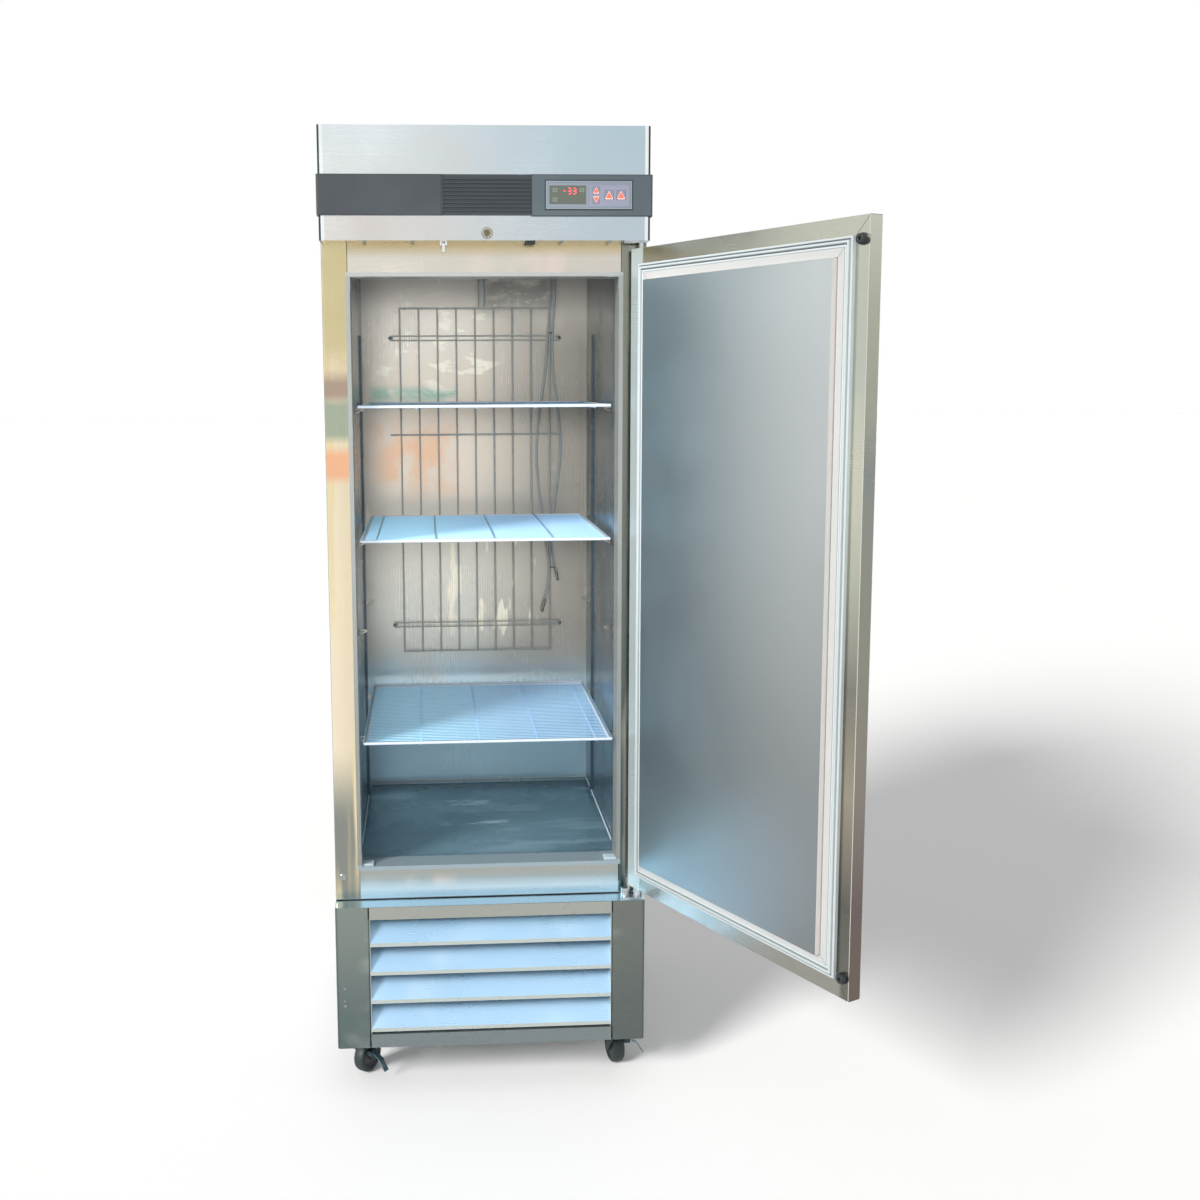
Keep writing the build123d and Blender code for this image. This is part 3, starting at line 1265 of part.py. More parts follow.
CASTER_X = HALF - CASTER_INSET
CASTER_ROWS = {"front": FACE + CASTER_FRONT, "rear": REAR - CASTER_REAR}
CASTER_SPOTS = [(side * CASTER_X, CASTER_ROWS[row]) for side, row, turn in CASTERS.values()]
STEM_BORE = STEM_RADIUS + STEM_CLEARANCE
CHASSIS_HALF = HALF - STEEL
MOUNT_LOW = CASTER_HEIGHT - CASTER_MOUNT
with BuildPart() as base_chassis:
    with BuildSketch(Plane.XZ.offset(-FACE)) as pan_section:
        with Locations((0, CASTER_HEIGHT + CHASSIS_FLANGE / 2)):
            Rectangle(2 * CHASSIS_HALF, CHASSIS_FLANGE)
        with Locations((0, CHASSIS_TOP + CHASSIS_FLANGE / 2)):
            Rectangle(2 * (CHASSIS_HALF - CHASSIS_PLATE), CHASSIS_FLANGE, mode=Mode.SUBTRACT)
    extrude(amount=FACE - REAR + STEEL)
    with BuildSketch(Plane.XY.offset(CASTER_HEIGHT)) as mounts:
        with Locations(*CASTER_SPOTS):
            Rectangle(MOUNT_SIZE, MOUNT_SIZE)
    extrude(amount=-CASTER_MOUNT)
    with BuildSketch(Plane.XY.offset(MOUNT_LOW)) as stem_bores:
        with Locations(*CASTER_SPOTS):
            Circle(STEM_BORE)
    extrude(amount=CASTER_MOUNT + CHASSIS_PLATE, mode=Mode.SUBTRACT)
finish(base_chassis.part, "base_chassis")

# Louvred front grille: two channel rails, end plates and four sloping blades with folded lips
BLADE_FRONT = HOOD_FRONT + BLADE_SETBACK
BLADE_HALF = POST_INNER - STEEL
RAIL_TOP = BASE_TOP - STEEL
BOTTOM_RAIL_TOP = CASTER_HEIGHT + BOTTOM_RAIL
TOP_RAIL_LOW = RAIL_TOP - TOP_RAIL
FIRST_BLADE = BOTTOM_RAIL_TOP + BLADE_GAP
BLADE_PITCH = (TOP_RAIL_LOW + BLADE_TOP_LAP - FIRST_BLADE) / BLADE_COUNT
with BuildPart() as louvre_grille:
    with BuildSketch(Plane.YZ) as rail_profiles:
        for low, high in ((CASTER_HEIGHT, BOTTOM_RAIL_TOP), (TOP_RAIL_LOW, RAIL_TOP)):
            folded_sheet(
                [
                    (HOOD_FRONT + RAIL_DEPTH, low),
                    (HOOD_FRONT, low),
                    (HOOD_FRONT, high),
                    (HOOD_FRONT + RAIL_DEPTH, high),
                ],
                STEEL,
                Side.RIGHT,
            )
    extrude(amount=POST_INNER, both=True)
    with BuildSketch(Plane.YZ) as blade_profiles:
        for number in range(BLADE_COUNT):
            low = FIRST_BLADE + number * BLADE_PITCH
            folded_sheet(
                [
                    (BLADE_FRONT + BLADE_RETURN, low),
                    (BLADE_FRONT, low),
                    (BLADE_FRONT, low + BLADE_LIP),
                    (BLADE_FRONT + BLADE_RUN, low + BLADE_LIP + BLADE_RISE),
                ],
                STEEL,
                Side.RIGHT,
            )
    extrude(amount=BLADE_HALF, both=True)
    for side in (-1, 1):
        block(
            sorted((side * BLADE_HALF, side * POST_INNER)),
            (BLADE_FRONT, BLADE_FRONT + GRILLE_END_DEPTH),
            (BOTTOM_RAIL_TOP - STEEL, TOP_RAIL_LOW + STEEL),
        )
finish(louvre_grille.part, "louvre_grille")

COMPRESSOR_LOW = CHASSIS_TOP + COMPRESSOR_GRIP
with BuildPart() as compressor:
    with BuildSketch(Plane.XZ) as shell_half:
        with BuildLine() as shell_line:
            Polyline(
                (0, COMPRESSOR_LOW + COMPRESSOR_HEIGHT),
                (COMPRESSOR_RADIUS - COMPRESSOR_DOME, COMPRESSOR_LOW + COMPRESSOR_HEIGHT),
                (COMPRESSOR_RADIUS, COMPRESSOR_LOW + COMPRESSOR_HEIGHT - COMPRESSOR_DOME),
                (COMPRESSOR_RADIUS, COMPRESSOR_LOW + COMPRESSOR_FLOOR),
                (COMPRESSOR_RADIUS - COMPRESSOR_FLOOR, COMPRESSOR_LOW),
                (0, COMPRESSOR_LOW),
            )
            Line((0, COMPRESSOR_LOW), (0, COMPRESSOR_LOW + COMPRESSOR_HEIGHT))
        make_face()
    revolve(axis=Axis.Z)
    with BuildSketch(Plane.XY.offset(COMPRESSOR_LOW)) as compressor_feet:
        Rectangle(*COMPRESSOR_FOOT)
    extrude(amount=COMPRESSOR_FOOT_PLATE)
    with BuildSketch(Plane.XY.offset(CHASSIS_TOP)) as grommets:
        spread_x = COMPRESSOR_FOOT[0] - 2 * GROMMET_INSET[0]
        spread_y = COMPRESSOR_FOOT[1] - 2 * GROMMET_INSET[1]
        with GridLocations(spread_x, spread_y, 2, 2):
            RegularPolygon(radius=COMPRESSOR_GRIP, side_count=GROMMET_SIDES)
    extrude(amount=COMPRESSOR_GRIP)
    with BuildSketch(Plane.XY.offset(COMPRESSOR_LOW + COMPRESSOR_HEIGHT)) as tube:
        RegularPolygon(radius=COMPRESSOR_TUBE, side_count=GROMMET_SIDES)
    extrude(amount=COMPRESSOR_TUBE_RISE)
finish(compressor.part.moved(Location((COMPRESSOR_X, COMPRESSOR_Y, 0))), "compressor")

condenser = fin_block(
    (CONDENSER_X, CONDENSER_Y, CONDENSER_Z),
    CONDENSER_WIDTH,
    CONDENSER_HEIGHT,
    CONDENSER_DEPTH,
    CONDENSER_FIN_COUNT,
)
finish(condenser, "condenser")

condenser_fan = fan_blades(
    CONDENSER_FAN_SPOT,
    CONDENSER_FAN_RADIUS,
    CONDENSER_FAN_HUB,
    CONDENSER_FAN_BLADES,
)
finish(condenser_fan, "condenser_fan")

# Casters, modelled about their own swivel axis with the wheel trailing towards +Y

FORK_INNER = WHEEL_WIDTH / 2 + FORK_GAP
FORK_OUTER = FORK_INNER + FORK_PLATE
CROWN_LOW = 2 * WHEEL_RADIUS + FORK_CLEAR
CROWN_TOP = CROWN_LOW + FORK_PLATE
HEAD_TOP = MOUNT_LOW - MOUNT_GAP
BRAKE_X = FORK_OUTER + BRAKE_OUT
AXLE_PLANE = Plane(origin=(0, CASTER_TRAIL, WHEEL_RADIUS), x_dir=(0, 1, 0), z_dir=(1, 0, 0))
BRAKE_PLANE = Plane(
    origin=(BRAKE_X, BRAKE_Y, BRAKE_LEVEL),
    x_dir=(1, 0, 0),
    z_dir=(0, -1, 0),
)

with BuildPart() as fork:
    with BuildSketch(Plane.YZ.offset(FORK_INNER)) as leg:
        Polygon(
            (-FORK_NOSE, CROWN_TOP),
            (FORK_TAIL, CROWN_TOP),
            (CASTER_TRAIL + FORK_EYE, WHEEL_RADIUS),
            (CASTER_TRAIL + FORK_EYE / 2, WHEEL_RADIUS - FORK_EYE),
            (CASTER_TRAIL - FORK_EYE / 2, WHEEL_RADIUS - FORK_EYE),
            (CASTER_TRAIL - FORK_EYE, WHEEL_RADIUS),
            align=None,
        )
    extrude(amount=FORK_PLATE)
    mirror(about=Plane.YZ)
    block(
        (-FORK_OUTER, FORK_OUTER),
        (-FORK_NOSE, FORK_TAIL),
        (CROWN_LOW, CROWN_TOP),
    )
    with BuildSketch(Plane.XY.offset(CROWN_TOP)) as head:
        RegularPolygon(radius=HEAD_RADIUS, side_count=HEAD_SIDES)
    extrude(amount=HEAD_TOP - CROWN_TOP)
    with BuildSketch(Plane.XY.offset(HEAD_TOP)) as stem:
        Circle(STEM_RADIUS)
    extrude(amount=CHASSIS_TOP + STEM_END - HEAD_TOP)
    with BuildSketch(AXLE_PLANE) as axle:
        Circle(AXLE_RADIUS)
    extrude(amount=FORK_OUTER, both=True)

EAR_INNER = BRAKE_WIDTH / 2 + BRAKE_EAR_GAP
with BuildPart() as braked_fork:
    add(fork.part)
    with BuildSketch(BRAKE_PLANE.offset(EAR_INNER), BRAKE_PLANE.offset(-EAR_INNER - BRAKE_EAR)) as ears:
        with Locations(((BRAKE_BARREL - BRAKE_OUT) / 2, 0)):
            Rectangle(BRAKE_OUT + BRAKE_BARREL, 2 * BRAKE_BARREL)
    extrude(amount=BRAKE_EAR)
    with BuildSketch(BRAKE_PLANE) as brake_pin:
        Circle(BRAKE_PIN_RADIUS)
    extrude(amount=EAR_INNER + BRAKE_EAR, both=True)

with BuildPart() as brake:
    with BuildSketch(BRAKE_PLANE) as brake_side:
        folded_sheet(BRAKE_ARM, BRAKE_PLATE, Side.RIGHT)
        RegularPolygon(radius=BRAKE_BARREL, side_count=BARREL_SIDES)
        Circle(BRAKE_PIN_RADIUS + BRAKE_CLEARANCE, mode=Mode.SUBTRACT)
    extrude(amount=BRAKE_WIDTH / 2, both=True)

with BuildPart() as wheel:
    with BuildSketch(Plane.XY) as wheel_section:
        Polygon(
            (-WHEEL_WIDTH / 2, AXLE_RADIUS + AXLE_CLEARANCE),
            (WHEEL_WIDTH / 2, AXLE_RADIUS + AXLE_CLEARANCE),
            (WHEEL_WIDTH / 2, WHEEL_RADIUS - TREAD_EDGE),
            (WHEEL_WIDTH / 2 - TREAD_EDGE, WHEEL_RADIUS),
            (TREAD_EDGE - WHEEL_WIDTH / 2, WHEEL_RADIUS),
            (-WHEEL_WIDTH / 2, WHEEL_RADIUS - TREAD_EDGE),
            align=None,
        )
    revolve(axis=Axis.X)

CASTER_FORKS = {"front": braked_fork.part, "rear": fork.part}
for caster_name, (side, row, turn) in CASTERS.items():
    caster_place = Location((side * CASTER_X, CASTER_ROWS[row], 0), (0, 0, turn))
    wheel_place = caster_place * Location((0, CASTER_TRAIL, WHEEL_RADIUS))
    finish(CASTER_FORKS[row].moved(caster_place), f"caster_{caster_name}_fork")
    finish(wheel.part.moved(wheel_place), f"caster_{caster_name}_wheel")
    if row == "front":
        finish(brake.part.moved(caster_place), f"caster_{caster_name}_brake")
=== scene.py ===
# %% [markdown]
# # A laboratory freezer, dressed for its portrait
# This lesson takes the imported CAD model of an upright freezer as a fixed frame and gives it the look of
# the real thing: brushed steel, coated wire, rubber, moulded plastic and a lit display.
# The frame could be rebuilt in Blender, but it already has the true sizes, so each step either gives a
# CAD piece a better material or replaces it with a finer piece in the same place.

# %% Load the frame
import math

import bmesh
import bpy
from mathutils import Matrix, Vector


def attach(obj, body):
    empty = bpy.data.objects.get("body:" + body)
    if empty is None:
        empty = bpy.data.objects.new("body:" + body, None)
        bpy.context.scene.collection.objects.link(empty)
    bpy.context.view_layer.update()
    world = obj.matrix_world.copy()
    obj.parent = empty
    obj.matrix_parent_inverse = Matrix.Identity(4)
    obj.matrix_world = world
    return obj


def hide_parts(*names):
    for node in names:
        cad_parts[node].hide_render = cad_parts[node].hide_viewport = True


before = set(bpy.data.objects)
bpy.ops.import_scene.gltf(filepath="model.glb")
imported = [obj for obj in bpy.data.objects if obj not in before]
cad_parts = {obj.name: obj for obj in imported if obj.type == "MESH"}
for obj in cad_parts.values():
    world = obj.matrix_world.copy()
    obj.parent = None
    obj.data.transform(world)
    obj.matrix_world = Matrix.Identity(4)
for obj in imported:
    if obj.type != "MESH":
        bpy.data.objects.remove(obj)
bpy.ops.object.select_all(action="DESELECT")
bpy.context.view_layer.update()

# %% [markdown]
# ## The camera
# The photograph was taken from chest height, a little to the left of the cabinet and tilted down.
# The place, tilt and lens come from lines of known size in the picture, such as the cabinet's edges,
# so the render can be laid over the photograph. The lens is given for a square frame, and a small
# shift stands for the crop, which tilting the camera further would not match.

# %% Camera
FRAME_PIXELS = 1200
FOCAL_PIXELS = 1350.6
CENTRE_PIXELS = (509.0, 563.35)
CAMERA_PLACE = (-0.1253, -3.2495, 1.5740)
YAW, PITCH, ROLL = 0.0594, -0.1317, -0.00586

camera_data = bpy.data.cameras.new("camera")
camera_data.sensor_width = 36
camera_data.lens = FOCAL_PIXELS / FRAME_PIXELS * camera_data.sensor_width
camera_data.shift_x = (FRAME_PIXELS / 2 - CENTRE_PIXELS[0]) / FRAME_PIXELS
camera_data.shift_y = (CENTRE_PIXELS[1] - FRAME_PIXELS / 2) / FRAME_PIXELS
camera_data.clip_end = 200
camera = bpy.data.objects.new("camera", camera_data)
bpy.context.scene.collection.objects.link(camera)
bpy.context.scene.camera = camera
aim = Matrix.Rotation(-YAW, 4, "Z") @ Matrix.Rotation(math.pi / 2 + PITCH, 4, "X")
camera.matrix_world = Matrix.Translation(CAMERA_PLACE) @ aim @ Matrix.Rotation(ROLL, 4, "Z")
print("lens", round(camera_data.lens, 1), "mm")

# %% [markdown]
# ## The probe leads
# Two thin temperature leads hang from the evaporator cover in front of the wire guard, held together by
# two ties, and each ends in a small bulb. A limp lead takes smooth curves, so each is one NURBS spline
# through a few points, which Blender gives a round section. A bent tube mesh would show its corners.
# The curve's own box grows by each point's radius, so the points hold the lead's true radius and the
# bevel only multiplies it by one.

# %% Probe leads
LEAD_Y = 0.2774
LEAD_TOP = 1.880
LEAD_RADIUS = 0.002
LEAD_ROUTES = {
    "long": (
        (0.198, LEAD_TOP),
        (0.198, 1.822),
        (0.189, 1.706),
        (0.183, 1.610),
        (0.166, 1.500),
        (0.157, 1.400),
        (0.163, 1.304),
        (0.178, 1.200),
        (0.193, 1.094),
        (0.190, 1.048),
        (0.180, 1.010),
    ),
    "short": (
        (0.209, LEAD_TOP),
        (0.209, 1.822),
        (0.200, 1.706),
        (0.200, 1.610),
        (0.217, 1.500),
        (0.223, 1.400),
        (0.211, 1.300),
        (0.194, 1.196),
        (0.198, 1.142),
        (0.207, 1.094),
    ),
}
leads = {}
for label, route in LEAD_ROUTES.items():
    line = bpy.data.curves.new(f"probe_lead_{label}", "CURVE")
    line.dimensions = "3D"
    line.bevel_depth = 1.0
    line.bevel_resolution = 3
    line.resolution_u = 10
    line.use_fill_caps = True
    spline = line.splines.new("NURBS")
    spline.points.add(len(route) - 1)
    for point, (x, z) in zip(spline.points, route):
        point.co = (x, LEAD_Y, z, 1)
        point.radius = LEAD_RADIUS
    spline.order_u = 3
    spline.use_endpoint_u = True
    leads[label] = bpy.data.objects.new(f"probe_lead_{label}", line)
    bpy.context.scene.collection.objects.link(leads[label])
    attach(leads[label], "cabinet")
    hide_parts("probe_leads")
print("leads drawn:", ", ".join(leads))

# %% [markdown]
# ## Starting and editing a piece
# Each new piece starts as a primitive and is shaped in edit mode, as by hand. An operator acts on all
# that is selected, so these helpers first make one piece the only one, and a new primitive gets its size
# and turn written into its mesh at once. Building meshes from lists of points would be shorter to write,
# but nobody could follow it with the mouse.

# %% Start and edit
def only(piece):
    bpy.ops.object.select_all(action="DESELECT")
    piece.select_set(True)
    bpy.context.view_layer.objects.active = piece


def start(name, add, **settings):
    """Add a primitive on its own selection, with its size and turn in its mesh."""
    bpy.ops.object.select_all(action="DESELECT")
    add(**settings)
    piece = bpy.context.object
    piece.name = name
    bpy.ops.object.transform_apply(location=True, rotation=True, scale=True)
    return piece


def edit(kind="FACE"):
    bpy.ops.object.mode_set(mode="EDIT")
    bpy.ops.mesh.select_mode(type=kind)
    bpy.ops.mesh.select_all(action="SELECT")


def done():
    bpy.ops.object.mode_set(mode="OBJECT")


def grow(by):
    """Extrude what is selected, and move the new part."""
    bpy.ops.mesh.extrude_region_move(TRANSFORM_OT_translate={"value": tuple(by)})


def close_up():
    """Merge what meets, and turn all faces outwards."""
    bpy.ops.mesh.select_all(action="SELECT")
    bpy.ops.mesh.remove_doubles(threshold=1e-6)
    bpy.ops.mesh.normals_make_consistent(inside=False)


print("start and edit helpers ready")

# %% [markdown]
# ## Picking corners, faces and edges
# A script has no mouse, so parts of a mesh are picked by where they are or which way they face. Numbers
# of faces would work too, but they change as soon as an earlier step does.

# %% Pick
def pick(piece, kind, test):
    """Select only the corners, faces or edges that pass the test."""
    bpy.ops.mesh.select_mode(type=kind)
    bpy.ops.mesh.select_all(action="DESELECT")
    shape = bmesh.from_edit_mesh(piece.data)
    for part in {"VERT": shape.verts, "EDGE": shape.edges, "FACE": shape.faces}[kind]:
        part.select_set(bool(test(part)))
    bmesh.update_edit_mesh(piece.data)


def pick_faces(piece, test):
    """Select the faces whose centre and normal pass the test."""
    pick(piece, "FACE", lambda face: test(face.calc_center_median(), face.normal))


def pick_edges(piece, test):
    """Select the edges whose middle passes the test."""
    pick(piece, "EDGE", lambda edge: test((edge.verts[0].co + edge.verts[1].co) / 2))


print("pick helpers ready")

# %% [markdown]
# ## Finishing, copying and settling a piece
# What repeats is modelled once and copied, each copy with its own mesh, because the export writes one mesh
# per piece. At the end a piece is settled: it gets its finish and a body to ride on, and the CAD piece that
# it stands for is hidden. Its object stays at the origin with its place in its mesh, so a pattern that
# reads object coordinates keeps still when a joint moves.

# %% Finish, copy and settle
def smooth(piece, degrees=35):
    only(piece)
    bpy.ops.object.shade_smooth_by_angle(angle=math.radians(degrees))


def modify(piece, kind, **settings):
    """Put a modifier on a piece and apply it."""
    only(piece)
    modifier = piece.modifiers.new(kind.lower(), kind)
    for name, value in settings.items():
        setattr(modifier, name, value)
    bpy.ops.object.modifier_apply(modifier=modifier.name)


def place(piece, matrix):
    """Move a piece by a matrix and write the move into its mesh."""
    piece.matrix_world = matrix @ piece.matrix_world
    only(piece)
    bpy.ops.object.transform_apply(location=True, rotation=True, scale=True)


def copy_to(piece, name, matrix):
    """Make a copy with its own mesh, moved by a matrix."""
    twin = piece.copy()
    twin.data = piece.data.copy()
    twin.name = name
    bpy.context.scene.collection.objects.link(twin)
    place(twin, matrix)
    return twin


def join(name, pieces):
    only(pieces[0])
    for piece in pieces:
        piece.select_set(True)
    bpy.ops.object.join()
    pieces[0].name = name
    return pieces[0]


def settle(piece, body, material, stands_for=()):
    """Dress a finished piece and let it ride on its body."""
    piece.data.materials.clear()
    piece.data.materials.append(material)
    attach(piece, body)
    if stands_for:
        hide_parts(*stands_for)
    print(piece.name, "on", body, "with", len(piece.data.polygons), "faces")


def at(x, y, z, degrees=0, axis="X"):
    """A place, with a turn about one axis."""
    return Matrix.Translation((x, y, z)) @ Matrix.Rotation(math.radians(degrees), 4, axis)


print("finishing helpers ready")

# %% [markdown]
# ## Turned shapes
# Bumpers, wheels and screws are round, as if cut on a lathe. A single vertex is extruded along half the
# outline and spun about the axis. A stack of cylinders would give the steps but not the rounded edges.

# %% Turned helper
def turned(name, outline, steps=32, degrees=30):
    """Turn an outline of (radius, height) points about Z."""
    piece = start(name, bpy.ops.mesh.primitive_plane_add, size=0.01)
    edit("VERT")
    bpy.ops.mesh.merge(type="CENTER")
    bpy.ops.transform.translate(value=(outline[0][0], 0, outline[0][1]))
    for before, after in zip(outline, outline[1:]):
        grow((after[0] - before[0], 0, after[1] - before[1]))
    bpy.ops.mesh.select_all(action="SELECT")
    bpy.ops.mesh.spin(steps=steps, angle=2 * math.pi, center=(0, 0, 0), axis=(0, 0, 1))
    close_up()
    done()
    smooth(piece, degrees)
    return piece


print("turned helper ready")

# %% [markdown]
# ## Bent wire
# Wire goods are one round wire bent on a jig. A ring is extruded along each straight run and spun round
# each bend. A curve with a bevel would do too, but a mesh shows its bends in edit mode.

# %% Wire helper
X, Y, Z = Vector((1, 0, 0)), Vector((0, 1, 0)), Vector((0, 0, 1))


def bent_wire(name, radius, begin, heading, axis, runs, closed=False, sides=8, steps=3):
    """Extrude a ring along runs of (length, turn in degrees, bend radius), turning about axis."""
    here = Vector(begin)
    facing = Z.rotation_difference(heading).to_euler()
    piece = start(
        name,
        bpy.ops.mesh.primitive_circle_add,
        vertices=sides,
        radius=radius,
        location=begin,
        rotation=facing,
    )
    edit("EDGE")
    for length, degrees, bend in runs:
        if length:
            grow(heading * length)
            here += heading * length
        if degrees:
            angle = math.radians(degrees)
            centre = here + axis.cross(heading) * math.copysign(bend, angle)
            bpy.ops.mesh.spin(steps=steps, angle=angle, center=centre, axis=axis)
            spun = Matrix.Rotation(angle, 3, axis)
            here = centre + spun @ (here - centre)
            heading = spun @ heading
    if not closed:
        bpy.ops.mesh.select_all(action="SELECT")
        bpy.ops.mesh.fill_holes(sides=sides)
    close_up()
    done()
    smooth(piece, 50)
    return piece


print("wire helper ready")

# %% [markdown]
# ## Nodes and node groups
# The same effects come back on many surfaces, so each is a node group with named inputs, built once.
# A group could hold the whole shader, but then its plain numbers would be out of reach: the shader
# stays in each material, and the groups only give it colours, roughness and bumps.

# %% Node helpers
def srgb(code):
    """Turn a web colour into linear values."""
    parts = [int(code[i : i + 2], 16) / 255 for i in (1, 3, 5)]
    return [p / 12.92 if p <= 0.04045 else ((p + 0.055) / 1.055) ** 2.4 for p in parts] + [1.0]


def feed(tree, socket, value):
    """Give an input another node's output, or a plain value."""
    if isinstance(value, bpy.types.NodeSocket):
        tree.links.new(value, socket)
    else:
        socket.default_value = value


def add_node(tree, kind, values=(), **settings):
    """Add a node; values gives its inputs by name or number."""
    node = tree.nodes.new(f"ShaderNode{kind}")
    for name, value in settings.items():
        setattr(node, name, value)
    for socket, value in dict(values).items():
        feed(tree, node.inputs[socket], value)
    return node


def mix_colours(tree, amount, first, second):
    node = add_node(tree, "Mix", data_type="RGBA")
    for number, value in ((0, amount), (6, first), (7, second)):
        feed(tree, node.inputs[number], value)
    return node.outputs[2]


def new_group(name, inputs, outputs):
    group = bpy.data.node_groups.new(name, "ShaderNodeTree")
    for label, kind, value in inputs:
        socket = group.interface.new_socket(label, in_out="INPUT", socket_type=f"NodeSocket{kind}")
        socket.default_value = value
    for label, kind in outputs:
        group.interface.new_socket(label, in_out="OUTPUT", socket_type=f"NodeSocket{kind}")
    given = group.nodes.new("NodeGroupInput").outputs
    return group, given, group.nodes.new("NodeGroupOutput").inputs


def vector_math(tree, operation, first, second):
    return add_node(tree, "VectorMath", {0: first, 1: second}, operation=operation).outputs[0]


def number_math(tree, operation, first, second=0.5):
    return add_node(tree, "Math", {0: first, 1: second}, operation=operation).outputs[0]


GREY = (0.5, 0.5, 0.5, 1)
print("node helpers ready")

# %% [markdown]
# ## Corner tint
# Sheet steel picks up its surroundings, so a panel's tone drifts from corner to corner. Four corner
# colours, a painted reflection with its light and shade, are blended across the panel, and soft noise
# bends the blend. One gradient would do for a single direction only.

# %% Corner tint group
tint, given, out = new_group(
    "corner_tint",
    [
        ("Vector", "Vector", (0, 0, 0)),
        ("Low", "Vector", (0, 0, 0)),
        ("High", "Vector", (1, 1, 1)),
        ("Low Left", "Color", GREY),
        ("Low Right", "Color", GREY),
        ("High Left", "Color", GREY),
        ("High Right", "Color", GREY),
        ("Drift", "Float", 0.2),
        ("Patch", "Float", 3.0),
    ],
    [("Color", "Color")],
)
span = vector_math(tint, "SUBTRACT", given["High"], given["Low"])
along = vector_math(tint, "SUBTRACT", given["Vector"], given["Low"])
share = vector_math(tint, "DIVIDE", along, span)
cloud = add_node(tint, "TexNoise", {"Vector": given["Vector"], "Scale": given["Patch"], "Detail": 1.5})
centred = vector_math(tint, "SUBTRACT", cloud.outputs["Color"], (0.5, 0.5, 0.5))
sway = add_node(tint, "VectorMath", {0: centred, "Scale": given["Drift"]}, operation="SCALE")
swayed = add_node(tint, "SeparateXYZ", {0: vector_math(tint, "ADD", share, sway.outputs[0])})
across, upward = (
    add_node(tint, "MapRange", {0: swayed.outputs[axis]}, interpolation_type="SMOOTHSTEP").outputs[0]
    for axis in "XZ"
)
low_row = mix_colours(tint, across, given["Low Left"], given["Low Right"])
high_row = mix_colours(tint, across, given["High Left"], given["High Right"])
feed(tint, out["Color"], mix_colours(tint, upward, low_row, high_row))
print("corner_tint has", len(tint.nodes), "nodes")

# %% [markdown]
# ## Brushed grain
# Brushing leaves fine lines in one direction, and handling dulls them in patches. Noise stretched along
# the brush marks gives the lines, as a bump and as a mask for the roughness. An anisotropic shader
# gives the streaked highlight without the lines, and the bake would lose it.

# %% Brushed grain group
grain, given, out = new_group(
    "brushed_grain",
    [
        ("Vector", "Vector", (0, 0, 0)),
        ("Stretch", "Vector", (1, 1, 1)),
        ("Depth", "Float", 0.1),
        ("Clean", "Float", 0.25),
        ("Worn", "Float", 0.4),
    ],
    [("Roughness", "Float"), ("Normal", "Vector")],
)
stretched = vector_math(grain, "MULTIPLY", given["Vector"], given["Stretch"])
lines = add_node(grain, "TexNoise", {"Vector": stretched, "Scale": 1.0, "Detail": 2.0}).outputs[0]
smudge = add_node(grain, "TexNoise", {"Vector": given["Vector"], "Scale": 5.0, "Detail": 4.0})
patches = add_node(grain, "MapRange", {0: smudge.outputs[0], 1: 0.4, 2: 0.65})
worn_lines = number_math(grain, "MULTIPLY", patches.outputs[0], lines)
rough = add_node(grain, "MapRange", {0: worn_lines, 1: 0.0, 2: 0.6, 3: given["Clean"], 4: given["Worn"]})
grooves = add_node(grain, "Bump", {"Strength": given["Depth"], "Distance": 0.0004, "Height": lines})
feed(grain, out["Roughness"], rough.outputs[0])
feed(grain, out["Normal"], grooves.outputs[0])
print("brushed_grain has", len(grain.nodes), "nodes")

# %% [markdown]
# ## Soft blotches
# A second colour shows through in soft patches, as fingerprints, haze or a blurred reflection do. One
# noise with a soft threshold makes them, and its stretch tells a smear from a cloud. The mask comes out
# too, so a patch can be kept to one place.

# %% Soft blotches group
blotch, given, out = new_group(
    "soft_blotches",
    [
        ("Vector", "Vector", (0, 0, 0)),
        ("Stretch", "Vector", (1, 1, 1)),
        ("Under", "Color", GREY),
        ("Over", "Color", GREY),
        ("From", "Float", 0.45),
        ("To", "Float", 0.7),
    ],
    [("Color", "Color"), ("Mask", "Float")],
)
stretched = vector_math(blotch, "MULTIPLY", given["Vector"], given["Stretch"])
cloud = add_node(
    blotch, "TexNoise", {"Vector": stretched, "Scale": 1.0, "Detail": 2.5, "Distortion": 0.15}
)
mask = add_node(
    blotch,
    "MapRange",
    {0: cloud.outputs[0], 1: given["From"], 2: given["To"]},
    interpolation_type="SMOOTHSTEP",
)
feed(blotch, out["Color"], mix_colours(blotch, mask.outputs[0], given["Under"], given["Over"]))
feed(blotch, out["Mask"], mask.outputs[0])
print("soft_blotches has", len(blotch.nodes), "nodes")

# %% [markdown]
# ## Moulded pebble
# Moulded plastic and rubber have a fine pebble from the mould's etched wall, and a thin film of dust
# lies on it in places. Two noises do it, one fine for the bump and one coarse for the dust. A flat
# colour would look like a drawing.

